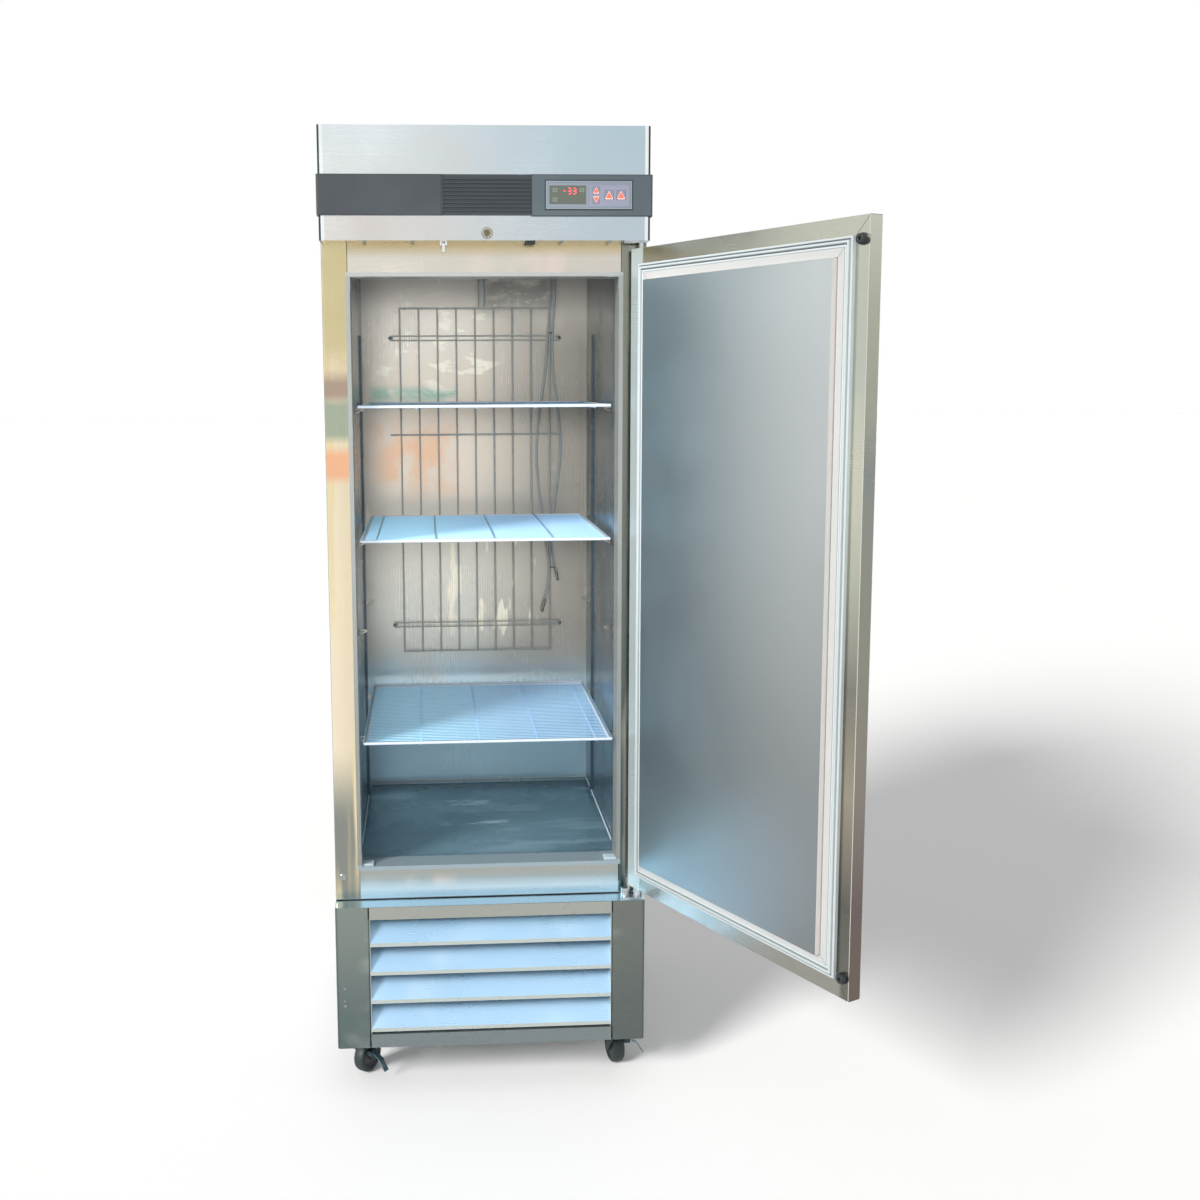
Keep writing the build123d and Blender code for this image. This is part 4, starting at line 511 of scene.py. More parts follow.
# %% Moulded pebble group
pebble, given, out = new_group(
    "moulded_pebble",
    [
        ("Vector", "Vector", (0, 0, 0)),
        ("Size", "Float", 900.0),
        ("Depth", "Float", 0.2),
        ("Base", "Color", GREY),
        ("Dust", "Color", (0.6, 0.6, 0.6, 1)),
    ],
    [("Color", "Color"), ("Roughness", "Float"), ("Normal", "Vector")],
)
dots = add_node(pebble, "TexNoise", {"Vector": given["Vector"], "Scale": given["Size"], "Detail": 1.0})
dust = add_node(pebble, "TexNoise", {"Vector": given["Vector"], "Scale": 9.0, "Detail": 5.0}).outputs[0]
film = add_node(pebble, "MapRange", {0: dust, 1: 0.45, 2: 0.75, 3: 0.0, 4: 0.35})
matt = add_node(pebble, "MapRange", {0: dust, 1: 0.3, 2: 0.7, 3: 0.42, 4: 0.6})
etched = add_node(
    pebble, "Bump", {"Strength": given["Depth"], "Distance": 0.0003, "Height": dots.outputs[0]}
)
feed(pebble, out["Color"], mix_colours(pebble, film.outputs[0], given["Base"], given["Dust"]))
feed(pebble, out["Roughness"], matt.outputs[0])
feed(pebble, out["Normal"], etched.outputs[0])
print("moulded_pebble has", len(pebble.nodes), "nodes")

# %% [markdown]
# ## Box mask
# A window, a folded edge or a painted-on shade belongs to one place on a piece. A box with soft edges
# picks it out: the distance past each side is measured, and the worst of the three counts. Cutting the
# mesh would do the same, but a CAD piece's mesh stays as it is.

# %% Box mask group
box_mask, given, out = new_group(
    "box_mask",
    [
        ("Vector", "Vector", (0, 0, 0)),
        ("Centre", "Vector", (0, 0, 0)),
        ("Half", "Vector", (1, 1, 1)),
        ("Blur", "Float", 0.001),
    ],
    [("Mask", "Float")],
)
off = vector_math(box_mask, "SUBTRACT", given["Vector"], given["Centre"])
size = add_node(box_mask, "VectorMath", {0: off}, operation="ABSOLUTE").outputs[0]
past = vector_math(box_mask, "SUBTRACT", size, given["Half"])
sides = add_node(box_mask, "SeparateXYZ", {0: past}).outputs
farthest = number_math(box_mask, "MAXIMUM", number_math(box_mask, "MAXIMUM", sides[0], sides[1]), sides[2])
fade = number_math(box_mask, "DIVIDE", farthest, given["Blur"])
inside = add_node(box_mask, "MapRange", {0: fade, 1: 0.0, 2: 1.0, 3: 1.0, 4: 0.0})
feed(box_mask, out["Mask"], inside.outputs[0])
print("box_mask has", len(box_mask.nodes), "nodes")

# %% [markdown]
# ## A helper for steel
# The cabinet is brushed stainless sheet. Real steel has little colour of its own and shows a blurred
# picture of its surroundings, so its tone differs from panel to panel. One helper builds every steel:
# corner colours for the slow drift, which paint that blurred reflection with its light and shade, blotches
# for haze and painted reflection, and grain for the brush marks. A photograph wrapped round it would show
# one room for ever, and plain metal shows only this empty studio.

# %% Steel helper
def new_material(name):
    """Make a material; give it, its tree, its shader and the object's own coordinates."""
    material = bpy.data.materials.new(name)
    material.use_nodes = True
    tree = material.node_tree
    shader = tree.nodes["Principled BSDF"]
    return material, tree, shader, add_node(tree, "TexCoord").outputs["Object"]


def use_group(tree, group, values):
    node = tree.nodes.new("ShaderNodeGroup")
    node.node_tree = group
    for socket, value in values.items():
        feed(tree, node.inputs[socket], value)
    return node.outputs


def four(*codes):
    """Name four web colours as a panel's corners."""
    return dict(zip(("Low Left", "Low Right", "High Left", "High Right"), map(srgb, codes)))


def finish_metal(tree, shader, spot, colour, brush, depth, worn, metallic):
    """Give a shader its colour, brush marks and metal."""
    lines = use_group(
        tree, grain, {"Vector": spot, "Stretch": brush, "Depth": depth, "Clean": worn[0], "Worn": worn[1]}
    )
    feed(tree, shader.inputs["Base Color"], colour)
    feed(tree, shader.inputs["Roughness"], lines["Roughness"])
    feed(tree, shader.inputs["Normal"], lines["Normal"])
    shader.inputs["Metallic"].default_value = metallic


FLAT_BRUSH = (2.0, 2.0, 900.0)
TALL_BRUSH = (900.0, 2.0, 2.0)


def steel(name, low, high, corners, worn, brush=FLAT_BRUSH, haze_and_reflection=None, drift=0.25, depth=0.12, metal=1.0):
    """A brushed steel; haze_and_reflection is (stretch, colour, from, to) of its blotches of haze and
    painted reflection.
    """
    material, tree, shader, spot = new_material(name)
    panel = {"Vector": spot, "Low": low, "High": high, "Drift": drift, "Patch": 2.5, **four(*corners)}
    colour = use_group(tree, tint, panel)["Color"]
    if haze_and_reflection:
        stretch, over, start_at, full_at = haze_and_reflection
        cloud = {"Vector": spot, "Stretch": stretch, "Under": colour, "Over": srgb(over)}
        colour = use_group(tree, blotch, {**cloud, "From": start_at, "To": full_at})["Color"]
    finish_metal(tree, shader, spot, colour, brush, depth, worn, metal)
    return material


print("steel helper ready")

# %% [markdown]
# ## Masks and layers
# Painted highlights and shade on folded edges, seams, and painted reflections of the room's colours lie
# on the steel in known places. Each is one more colour laid over the material under a mask: a soft box, a
# direction that faces look in, or a blotchy patch. Extra strips of mesh would fight with the sheet behind
# them.

# %% Mask and layer helpers
def lay(material, mask, colour):
    """Lay one more colour over a material's base colour where a mask is bright."""
    tree = material.node_tree
    socket = tree.nodes["Principled BSDF"].inputs["Base Color"]
    feed(tree, socket, mix_colours(tree, mask, socket.links[0].from_socket, colour))


def layer(material, mask, code):
    lay(material, mask, srgb(code))


def spot_mask(material, centre, half, blur=0.001, outside=False, vector=None):
    """Mask a box on a material, or all that is outside it."""
    tree = material.node_tree
    spot = vector or add_node(tree, "TexCoord").outputs["Object"]
    mask = use_group(tree, box_mask, {"Vector": spot, "Centre": centre, "Half": half, "Blur": blur})["Mask"]
    return number_math(tree, "SUBTRACT", 1.0, mask) if outside else mask


def facing_mask(material, axis, low, high):
    """Mask the faces that look along an axis of the object."""
    tree = material.node_tree
    parts = add_node(tree, "SeparateXYZ", {0: add_node(tree, "TexCoord").outputs["Normal"]})
    return add_node(tree, "MapRange", {0: parts.outputs[axis], 1: low, 2: high}).outputs[0]


def patchy(material, where, half, blur, stretch, start_at, full_at, code):
    """Lay a colour on one place, broken up into soft streaks."""
    tree = material.node_tree
    spot = add_node(tree, "TexCoord").outputs["Object"]
    streaks = use_group(
        tree, blotch, {"Vector": spot, "Stretch": stretch, "From": start_at, "To": full_at}
    )
    inside = spot_mask(material, where, half, blur)
    layer(material, number_math(tree, "MULTIPLY", inside, streaks["Mask"]), code)


ALL = 9.0
FOLD_GREY = "#A0A7A7"
print("mask helpers ready")

# %% [markdown]
# ## The hood
# The sheet above the door is brushed sideways, and its bright corner colours and blotches are a painted
# reflection. Its ends are folded back over end caps: a painted highlight line, then a band of dark painted
# reflection round the bend, then the caps' plain sides.

# %% Hood steel
hood_steel = steel(
    "hood_steel",
    (-0.343, -1, 1.87),
    (0.343, 1, 2.1),
    ("#E4E2DE", "#C2D0DA", "#E3EAED", "#BBCFDA"),
    worn=(0.2, 0.32),
    haze_and_reflection=((5, 1, 4), "#DDD6D2", 0.52, 0.85),
    depth=0.05,
)
# At each folded end, a painted highlight line and then a band of dark painted reflection.
for half_width, code in ((0.3305, "#F4F8FA"), (0.3375, "#3C464B")):
    layer(hood_steel, spot_mask(hood_steel, (0, 0, 0), (half_width, ALL, ALL), outside=True), code)
for side in (1, -1):
    layer(hood_steel, facing_mask(hood_steel, "X", 0.8 * side, 0.95 * side), FOLD_GREY)
print("hood steel made")

# %% [markdown]
# ## The stiles
# The side sheets are folded round the front, brushed upwards. The left stile's colours are painted
# reflections of a warm wall and a few coloured things of the room, as soft bands and bright streaks, and
# the right one carries painted shade from the door. Their sides are plain.

# %% Stile steels
SIDE_GREY = "#A4AAAA"
left_steel = steel(
    "left_stile_steel",
    (-0.35, -1, 0.61),
    (-0.28, 1, 0.80),
    ("#8A8F89", "#93958B", "#F4E8CE", "#E9DABB"),
    brush=TALL_BRUSH,
    worn=(0.16, 0.3),
    haze_and_reflection=((26, 1, 1.6), "#EFDDB4", 0.5, 0.64),
    drift=0.06,
)
# Soft bands of painted reflection on the left stile.
for height, half, blur, code in (
    (1.88, 0.22, 0.08, "#D8CB9F"),
    (1.567, 0.012, 0.03, "#B7A492"),
    (1.500, 0.030, 0.02, "#ADB7A2"),
    (1.405, 0.020, 0.022, "#F6BE97"),
):
    layer(left_steel, spot_mask(left_steel, (-0.31, 0, height), (ALL, ALL, half), blur), code)
layer(left_steel, facing_mask(left_steel, "X", -0.4, -0.7), SIDE_GREY)

# The right stile's dark lower corners are painted shade from the door.
right_steel = steel(
    "right_stile_steel",
    (0.28, -1, 0.5),
    (0.35, 1, 1.8),
    ("#4E5E60", "#50605E", "#93958B", "#8A8C82"),
    brush=TALL_BRUSH,
    worn=(0.18, 0.32),
    haze_and_reflection=((26, 1, 2.0), "#9FA094", 0.52, 0.7),
)
layer(right_steel, facing_mask(right_steel, "X", 0.4, 0.7), SIDE_GREY)
print("stile steels made")

# %% [markdown]
# ## The front rails and the plain sheets
# The header above the opening is warm and the sill below it is cool, a painted reflection of another
# part of the room on each, and soft bands of painted reflection lie along their folds. The back, the roof
# and the floor plate are never seen in the photograph, so they get a plain grey steel.

# %% Rail and plain steels
front_steel = steel(
    "front_rail_steel",
    (-0.29, -1, 0.52),
    (0.29, 1, 1.80),
    ("#A6BAC2", "#A2B3B9", "#E2DED2", "#D9D3CA"),
    worn=(0.2, 0.34),
    haze_and_reflection=((9, 1, 3), "#EBDDD4", 0.52, 0.75),
    depth=0.05,
)
# Bands of painted reflection along the folds.
for height, half, blur, code in (
    (1.885, 0.022, 0.025, "#CDBB92"),
    (0.504, 0.006, 0.022, "#A9ADA8"),
    (0.450, 0.012, 0.022, "#C6DEEA"),
):
    layer(front_steel, spot_mask(front_steel, (0, 0, height), (ALL, ALL, half), blur), code)

plain_steel = steel(
    "plain_steel",
    (-0.35, -1, 0.4),
    (0.35, 1, 2.1),
    ("#9FA5A6", "#A3A8A8", "#B3B8B8", "#B1B7B9"),
    worn=(0.22, 0.38),
    haze_and_reflection=((3, 3, 3), "#B6BBBB", 0.45, 0.9),
)
print("rail and plain steels made")

# %% [markdown]
# ## The back wall
# The wall behind the shelves mirrors the room through the open door, so it is the liveliest surface, all
# painted reflection: peach, green and cream glints, a grey cloud at the top right, and a blue foot.
# Each is a soft patch broken up into streaks. Its Metallic is low, because inside the box there is
# little for a mirror to find.

# %% Back wall steel
back_steel = steel(
    "back_wall_steel",
    (-0.3, -1, 0.76),
    (0.3, 1, 0.90),
    ("#CFF0FF", "#C6E6F6", "#E6E6DE", "#D2D1C7"),
    brush=TALL_BRUSH,
    worn=(0.16, 0.3),
    haze_and_reflection=((5, 1, 2.2), "#E8E2D6", 0.45, 0.75),
    drift=0.1,
    metal=0.35,
)
# Broad painted light and shade: a warm painted patch left of the middle, a painted highlight along the top,
# and painted shade at the right.
for where, half, blur, code in (
    ((-0.06, 0, 1.42), (0.14, 1, 0.12), 0.3, "#EDE2D3"),
    ((0, 0, 1.86), (1, 1, 0.02), 0.22, "#FBF3E8"),
    ((0.28, 0, 1.30), (0.10, 1, 0.36), 0.2, "#B4AFA5"),
):
    layer(back_steel, spot_mask(back_steel, where, half, blur), code)
# The painted reflections.
for reflection_patch in (
    ((-0.155, 0, 1.38), (0.06, 1, 0.04), 0.08, (18, 1, 14), 0.36, 0.60, "#F6CDAE"),
    ((-0.16, 0, 1.55), (0.10, 1, 0.006), 0.02, (12, 1, 30), 0.3, 0.5, "#AFCDBE"),
    ((-0.10, 0, 1.69), (0.13, 1, 0.10), 0.05, (16, 1, 34), 0.56, 0.64, "#FFFBEC"),
    ((0.110, 0, 1.81), (0.07, 1, 0.025), 0.045, (20, 1, 40), 0.30, 0.55, "#B8B7AF"),
    ((0.105, 0, 1.79), (0.08, 1, 0.02), 0.01, (90, 1, 110), 0.6, 0.68, "#E4E0D4"),
    ((0.02, 0, 1.02), (0.12, 1, 0.12), 0.06, (40, 1, 9), 0.58, 0.66, "#FFF8E4"),
):
    patchy(back_steel, *reflection_patch)
print("back wall steel made")

# %% [markdown]
# ## The side walls and the cavity's floor
# The side walls are seen along their length, and their dark blue-grey is a painted reflection. The floor
# is the same sheet, brushed from front to back, paler towards the rear, with two wiped smears, and its
# raised edge is grey.

# %% Side and floor steels
# Dark blue-grey corner colours, a painted reflection.
side_steel = steel(
    "side_wall_steel",
    (-0.3, -1, 0.5),
    (0.3, 1, 2.0),
    ("#586C78", "#556874", "#616C71", "#5E696E"),
    brush=(2.0, 900.0, 2.0),
    worn=(0.2, 0.36),
    haze_and_reflection=((1, 9, 3), "#677277", 0.52, 0.7),
    metal=0.6,
)
floor_steel = steel(
    "cavity_floor_steel",
    (-0.3, -0.3, 0.5),
    (0.3, 0.3, 0.6),
    ("#7A9BA8", "#7394A2", "#99BECD", "#95B9C8"),
    brush=(2.0, 700.0, 2.0),
    worn=(0.24, 0.44),
    haze_and_reflection=((4, 14, 1), "#95B2BF", 0.56, 0.72),
    metal=0.45,
)
layer(floor_steel, spot_mask(floor_steel, (0, -0.33, 0.5), (1, 0.05, 1), 0.05), "#5D7A88")
for where, half in (((-0.05, 0.12, 0.5), (0.06, 0.014, 1)), ((-0.02, -0.04, 0.5), (0.07, 0.006, 1))):
    patchy(floor_steel, where, half, 0.02, (22, 90, 1), 0.47, 0.6, "#CFE0E8")
layer(floor_steel, spot_mask(floor_steel, (0, 0, 0.60), (ALL, ALL, 0.09), 0.004), "#A9B6BC")
print("side and floor steels made")

# %% [markdown]
# ## The base
# The steel posts beside the grille are dark grey, lighter towards the top, with a dark painted reflection
# on their outer folds and a painted highlight on the ledge on top. The louvres slope up to the light and
# look pale blue, between two grey rails, and their front lips carry a paler painted highlight.

# %% Base steels
post_steel = steel(
    "base_steel",
    (-0.35, -1, 0.12),
    (0.35, 1, 0.43),
    ("#667475", "#676D6B", "#89928B", "#767B77"),
    worn=(0.22, 0.36),
    haze_and_reflection=((8, 1, 8), "#98A09A", 0.55, 0.75),
)
# A dark painted reflection on the posts' outer folds.
layer(post_steel, spot_mask(post_steel, (0, 0, 0), (0.336, ALL, ALL), 0.008, outside=True), "#3A4D50")
for side in (1, -1):
    layer(post_steel, facing_mask(post_steel, "X", 0.8 * side, 0.95 * side), FOLD_GREY)
# A painted highlight on the ledge on top.
layer(post_steel, facing_mask(post_steel, "Z", 0.5, 0.9), "#C6DEEC")

louvre_steel = steel(
    "louvre_steel",
    (-0.27, -1, 0.14),
    (0.27, 1, 0.40),
    ("#A8CDEC", "#AED3F0", "#A1C6E3", "#A6CBE8"),
    worn=(0.26, 0.38),
    haze_and_reflection=((6, 1, 6), "#BFDCF2", 0.5, 0.8),
    drift=0.04,
    depth=0.0,
    metal=0.6,
)
# A paler painted highlight on the blades' front lips.
layer(louvre_steel, facing_mask(louvre_steel, "Z", 0.4, 0.2), "#B9C2BF")
for height, half, code in ((0.424, 0.0145, "#9C9F98"), (0.127, 0.0165, "#768082")):
    layer(louvre_steel, spot_mask(louvre_steel, (0, 0, height), (1, 1, half), 0.0005), code)
print("base steels made")

# %% [markdown]
# ## The door's own coordinates
# The door stands open, so its panels don't lie along X or Y. A Mapping node turns the coordinates back
# about the hinge, and the patterns can then be written as if the door were shut: X runs from the hinge
# to the latch edge, and Z is height.

# %% Door coordinates
HINGE = Vector((0.3265, -0.3792, 0))
OPEN = math.radians(117.3)


def door_coordinates(material):
    """Feed a material's groups with coordinates of the shut door, counted from the hinge."""
    tree = material.node_tree
    spot = add_node(tree, "TexCoord").outputs["Object"]
    shut = {"Vector": spot, "Location": HINGE, "Rotation": (0, 0, OPEN)}
    back = add_node(tree, "Mapping", shut, vector_type="TEXTURE").outputs[0]
    for node in list(tree.nodes):
        if node.type == "GROUP":
            tree.links.new(back, node.inputs["Vector"])
    return back


print("the door is open by", round(math.degrees(OPEN), 1), "degrees")

# %% [markdown]
# ## Mitres and bands of height
# Frames have a fine diagonal joint at each corner, where the distance up and the distance along are the
# same. A long narrow strip of steel changes its tone with height only, so a colour ramp read by height
# paints it.

# %% Mitre and ramp helpers
def mitres(material, spot, levels, edges, reach, code):
    """Draw a fine diagonal joint at each corner of a frame, as far in as its width."""
    tree = material.node_tree
    away = add_node(tree, "SeparateXYZ", {0: spot})
    for level in levels:
        for edge in edges:
            height, length = (
                number_math(tree, "ABSOLUTE", number_math(tree, "SUBTRACT", away.outputs[axis], corner))
                for axis, corner in (("Z", level), ("X", edge))
            )
            gap = number_math(tree, "ABSOLUTE", number_math(tree, "SUBTRACT", height, length))
            seam = add_node(tree, "MapRange", {0: gap, 1: 0.0005, 2: 0.0012, 3: 0.75, 4: 0.0})
            near = add_node(tree, "MapRange", {0: height, 1: reach, 2: reach + 0.001, 3: 1.0, 4: 0.0})
            layer(material, number_math(tree, "MULTIPLY", seam.outputs[0], near.outputs[0]), code)


def height_bands(material, spot, mask, stops):
    """Under a mask, let the colour change with height through stops of (height, colour)."""
    tree = material.node_tree
    low, high = stops[0][0], stops[-1][0]
    height = add_node(tree, "SeparateXYZ", {0: spot}).outputs["Z"]
    share = add_node(tree, "MapRange", {0: height, 1: low, 2: high})
    ramp = add_node(tree, "ValToRGB", {0: share.outputs[0]})
    points = ramp.color_ramp.elements
    for level, code in stops[1:-1]:
        points.new((level - low) / (high - low)).color = srgb(code)
    points[0].color = srgb(stops[0][1])
    points[len(stops) - 1].color = srgb(stops[-1][1])
    lay(material, mask, ramp.outputs["Color"])


print("mitre and ramp helpers ready")

# %% [markdown]
# ## The door's rim
# The outer pan is folded round the door's edge. Its latch flange and its narrow side mirror the room
# from top to bottom in bands of painted reflection, its four corners are mitred, the bottom flange gets
# an even grey painted reflection, and one painted highlight line runs down the fold. The hinge side lies
# in shade: it gets a grey-blue painted shade colour, and its Metallic is lower there so that it doesn't
# turn black.

# %% Door rim steel
LATCH_FLANGE_REFLECTION = (
    (0.465, "#75746C"),
    (0.640, "#686660"),
    (0.840, "#A1998A"),
    (1.035, "#89867C"),
    (1.230, "#B7BBAC"),
    (1.426, "#D2D1C1"),
    (1.600, "#C5CAC0"),
    (1.850, "#CCCEC0"),
)
LATCH_SIDE_REFLECTION = (
    (0.465, "#6F645B"),
    (0.640, "#6D6361"),
    (0.840, "#88827B"),
    (1.035, "#8C8B80"),
    (1.230, "#8E9086"),
    (1.426, "#8C928D"),
    (1.520, "#A2A598"),
    (1.700, "#B3B4A5"),
    (1.850, "#CACCC0"),
)
rim_steel = steel(
    "door_rim_steel",
    (-0.667, -1, 0.47),
    (0.014, 1, 1.85),
    ("#7C746B", "#8D908A", "#CBCDBF", "#B4B7AC"),
    worn=(0.18, 0.32),
    haze_and_reflection=((5, 1, 3), "#C3C4B8", 0.48, 0.9),
)
door_spot = door_coordinates(rim_steel)


def on_rim(x, z, half_width, half_height, blur):
    """Mask a box on the door's rim, in the shut door's coordinates."""
    return spot_mask(rim_steel, (x, 0, z), (half_width, ALL, half_height), blur, vector=door_spot)


# Bands of painted reflection down the latch flange and its side.
height_bands(rim_steel, door_spot, on_rim(-0.6412, 1.16, 0.0242, ALL, 0.004), LATCH_FLANGE_REFLECTION)
height_bands(rim_steel, door_spot, on_rim(-0.8, 1.16, 0.1346, ALL, 0.0003), LATCH_SIDE_REFLECTION)
mitres(rim_steel, door_spot, (0.465, 1.8538), (-0.6665, 0.0135), 0.034, "#4A4A44")
# A grey painted reflection on the bottom flange, a painted highlight line down the fold, and a painted
# colour for the shaded hinge side.
layer(rim_steel, on_rim(-0.33, 0.480, 0.31, 0.026, 0.008), "#9C9A92")
layer(rim_steel, on_rim(-0.6649, 1.16, 0.0005, ALL, 0.0005), "#E6E7DC")
shaded = on_rim(0.02, 1.16, 0.045, ALL, 0.004)
layer(rim_steel, shaded, "#A9B4B4")
metal = add_node(rim_steel.node_tree, "MapRange", {0: shaded, 1: 0.0, 2: 1.0, 3: 1.0, 4: 0.35})
feed(
    rim_steel.node_tree,
    rim_steel.node_tree.nodes["Principled BSDF"].inputs["Metallic"],
    metal.outputs[0],
)
print("door rim painted by", len(rim_steel.node_tree.nodes), "nodes")

# %% [markdown]
# ## The door's inner panel
# The panel inside the gasket has a matt, evenly blasted look, so its grain is the same in every
# direction. Its corner colours are a painted reflection, brightest at the top of the latch side. Its
# raised side walls are pale. They are told from the flat by how far they look away from the panel's own
# normal.

# %% Door panel steel
PANEL_NORMAL = (-0.8886, -0.4587, 0)
# Corner colours of painted reflection.
panel_steel = steel(
    "door_panel_steel",
    (-0.6, -1, 0.55),
    (-0.06, 1, 1.78),
    ("#7E8283", "#7D8C92", "#C0C6C8", "#8B9FA8"),
    brush=(300.0, 300.0, 300.0),
    worn=(0.36, 0.46),
    drift=0.2,
    depth=0.06,
    metal=0.8,
)
door_coordinates(panel_steel)
panel_tree = panel_steel.node_tree
normal = add_node(panel_tree, "TexCoord").outputs["Normal"]
faced = add_node(panel_tree, "VectorMath", {0: normal, 1: PANEL_NORMAL}, operation="DOT_PRODUCT")
turned_away = add_node(panel_tree, "MapRange", {0: faced.outputs["Value"], 1: 0.9, 2: 0.6})
layer(panel_steel, turned_away.outputs[0], "#EBE8E5")
print("door panel painted by", len(panel_tree.nodes), "nodes")

# %% [markdown]
# ## Plastic, rubber and coated wire
# Next come the materials that do have a colour of their own. Moulded pieces share the pebble group with
# its thin film of dust, and a clear coat where the plastic is glossy. The shelves are steel wire dipped
# in a pale blue coat, so they are glossy but not metallic, and paler at the left, where the light falls.

# %% Moulded and coated materials
def moulded(name, base, dust, size=900.0, depth=0.2, coat=0.0):
    material, tree, shader, spot = new_material(name)
    skin = {"Vector": spot, "Size": size, "Depth": depth, "Base": srgb(base), "Dust": srgb(dust)}
    made = use_group(tree, pebble, skin)
    for socket, target in (("Color", "Base Color"), ("Roughness", "Roughness"), ("Normal", "Normal")):
        feed(tree, shader.inputs[target], made[socket])
    shader.inputs["Coat Weight"].default_value = coat
    shader.inputs["Coat Roughness"].default_value = 0.08
    return material


black_plastic = moulded("black_plastic", "#2A2D30", "#4A4E51")
white_plastic = moulded("white_plastic", "#CCCCC9", "#BEBEB9", depth=0.05, coat=0.4)
bead_sealant = moulded("bead_sealant", "#BFD3DA", "#A9BDC5", size=200.0, depth=0.1)
bumper_rubber = moulded("bumper_rubber", "#1D2022", "#3A3E40", size=600.0)
tyre_rubber = moulded("tyre_rubber", "#1B2427", "#39464A", size=500.0)
lead_plastic = moulded("lead_plastic", "#96A2A7", "#A6B0B3", depth=0.1)
fan_plastic = moulded("fan_plastic", "#3C4043", "#5A5F62")
drain_plastic = moulded("drain_plastic", "#B5B8B4", "#9FA39F", depth=0.1)
foam = moulded("foam", "#D9C58E", "#C7B074", size=260.0, depth=0.8)
motor_paint = moulded("motor_paint", "#222528", "#3E4347", size=700.0, depth=0.15, coat=0.3)
key_plastic = moulded("key_plastic", "#717383", "#7B7F8B", depth=0.03, coat=0.5)
border_print = moulded("border_print", "#E2C1BA", "#D6B2AB", depth=0.03, coat=0.5)
arrow_plastic = moulded("arrow_plastic", "#DD6346", "#DF7A60", depth=0.03, coat=0.5)
frame_coat = moulded("frame_coat", "#C6D3E0", "#D2D9E1", size=300.0, depth=0.04, coat=0.6)
shelf_coat = moulded("shelf_coat", "#9EC7EA", "#ADCDEA", size=300.0, depth=0.04, coat=0.3)
layer(shelf_coat, spot_mask(shelf_coat, (-0.25, 0, 1.2), (0.1, ALL, ALL), 0.22), "#AEE3FF")
print("moulded and coated materials made")

# %% [markdown]
# ## The dark band's plastics
# The band across the hood has three parts: a plain cap at the left, a ribbed middle a little darker
# with painted shade among its ribs, and a housing for the controls at the right. The cap and the housing
# have a thin line of painted shade round their rounded faces, and the housing has a painted shadow in the
# sunken rim round the display.

# %% Band plastics
band_plastic = moulded("band_plastic", "#32373B", "#434A50", size=1200.0)
# Painted shade over the ribs, and along the cap's rounded edges.
layer(band_plastic, spot_mask(band_plastic, (0.0035, 0, 1.96), (0.0915, 1, 0.06), 0.0005), "#2C3236")
cap_edge_shade = spot_mask(band_plastic, (-0.2185, 0, 1.9607), (0.1255, ALL, 0.0395), 0.0012, outside=True)
cap_side = spot_mask(band_plastic, (-0.22, 0, 1.96), (0.1302, ALL, ALL), 0.0002)
layer(band_plastic, number_math(band_plastic.node_tree, "MULTIPLY", cap_edge_shade, cap_side), "#23292D")

housing_plastic = moulded("housing_plastic", "#444E54", "#556065", size=1200.0)
# Painted shade round the housing's face, and a painted shadow in the rim round the display.
for centre, half, blur, outside, code in (
    ((0.2205, 0, 1.96), (0.1235, ALL, 0.0400), 0.0012, True, "#262C30"),
    ((0.214, 0, 1.9605), (0.0915, ALL, 0.0305), 0.001, False, "#2B3236"),
):
    layer(housing_plastic, spot_mask(housing_plastic, centre, half, blur, outside), code)
print("band plastics made")

# %% [markdown]
# ## Breaker strips, trim and gasket
# The breaker strips round the opening are bluish along the sill and a little paler along the header.
# The door's trim is a mitred frame with a fine bead line. The gasket's rubber gets painted shade down in
# the grooves between its ribs, which the model has too, so nested boxes follow them.

# %% Breaker, trim and gasket materials
breaker_plastic = moulded("breaker_plastic", "#808482", "#747977", depth=0.08, coat=0.2)
layer(breaker_plastic, spot_mask(breaker_plastic, (0, 0, 0.5), (ALL, ALL, 0.017), 0.002), "#88979F")
layer(breaker_plastic, spot_mask(breaker_plastic, (0, 0, 1.81), (ALL, ALL, 0.0085)), "#8E9290")

DOOR_MIDDLE = (-0.3265, 0, 1.1594)
trim_plastic = moulded("trim_plastic", "#B0B1B0", "#A6A7A6", depth=0.08, coat=0.2)
trim_spot = door_coordinates(trim_plastic)
bead_line = spot_mask(trim_plastic, DOOR_MIDDLE, (0.2736, ALL, 0.6280), 0.0004, vector=trim_spot)
layer(trim_plastic, bead_line, "#77726F")
mitres(trim_plastic, trim_spot, (0.516, 1.8028), (-0.6155, -0.0375), 0.0175, "#6E6A68")

gasket_rubber = moulded("gasket_rubber", "#B1B9BB", "#A3AAAC", size=700.0, depth=0.12)
gasket_spot = door_coordinates(gasket_rubber)
# Painted shade in two grooves, each followed by the rubber's own colour.
for inward, code in ((0.0044, "#7A8487"), (0.0064, "#B3BBBD"), (0.0118, "#7A8487"), (0.0138, "#BAC2C4")):
    inside = (0.307 - inward, ALL, 0.6614 - inward)
    groove_shade = spot_mask(gasket_rubber, DOOR_MIDDLE, inside, 0.0003, vector=gasket_spot)
    layer(gasket_rubber, groove_shade, code)
print("breaker, trim and gasket materials made")

# %% [markdown]
# ## Bright metal
# The hardware is zinc, nickel, chrome, brass and aluminium, worn dull in patches. One helper mixes a
# bright and a dull tone by blotches and shares the grain with the sheet steel.

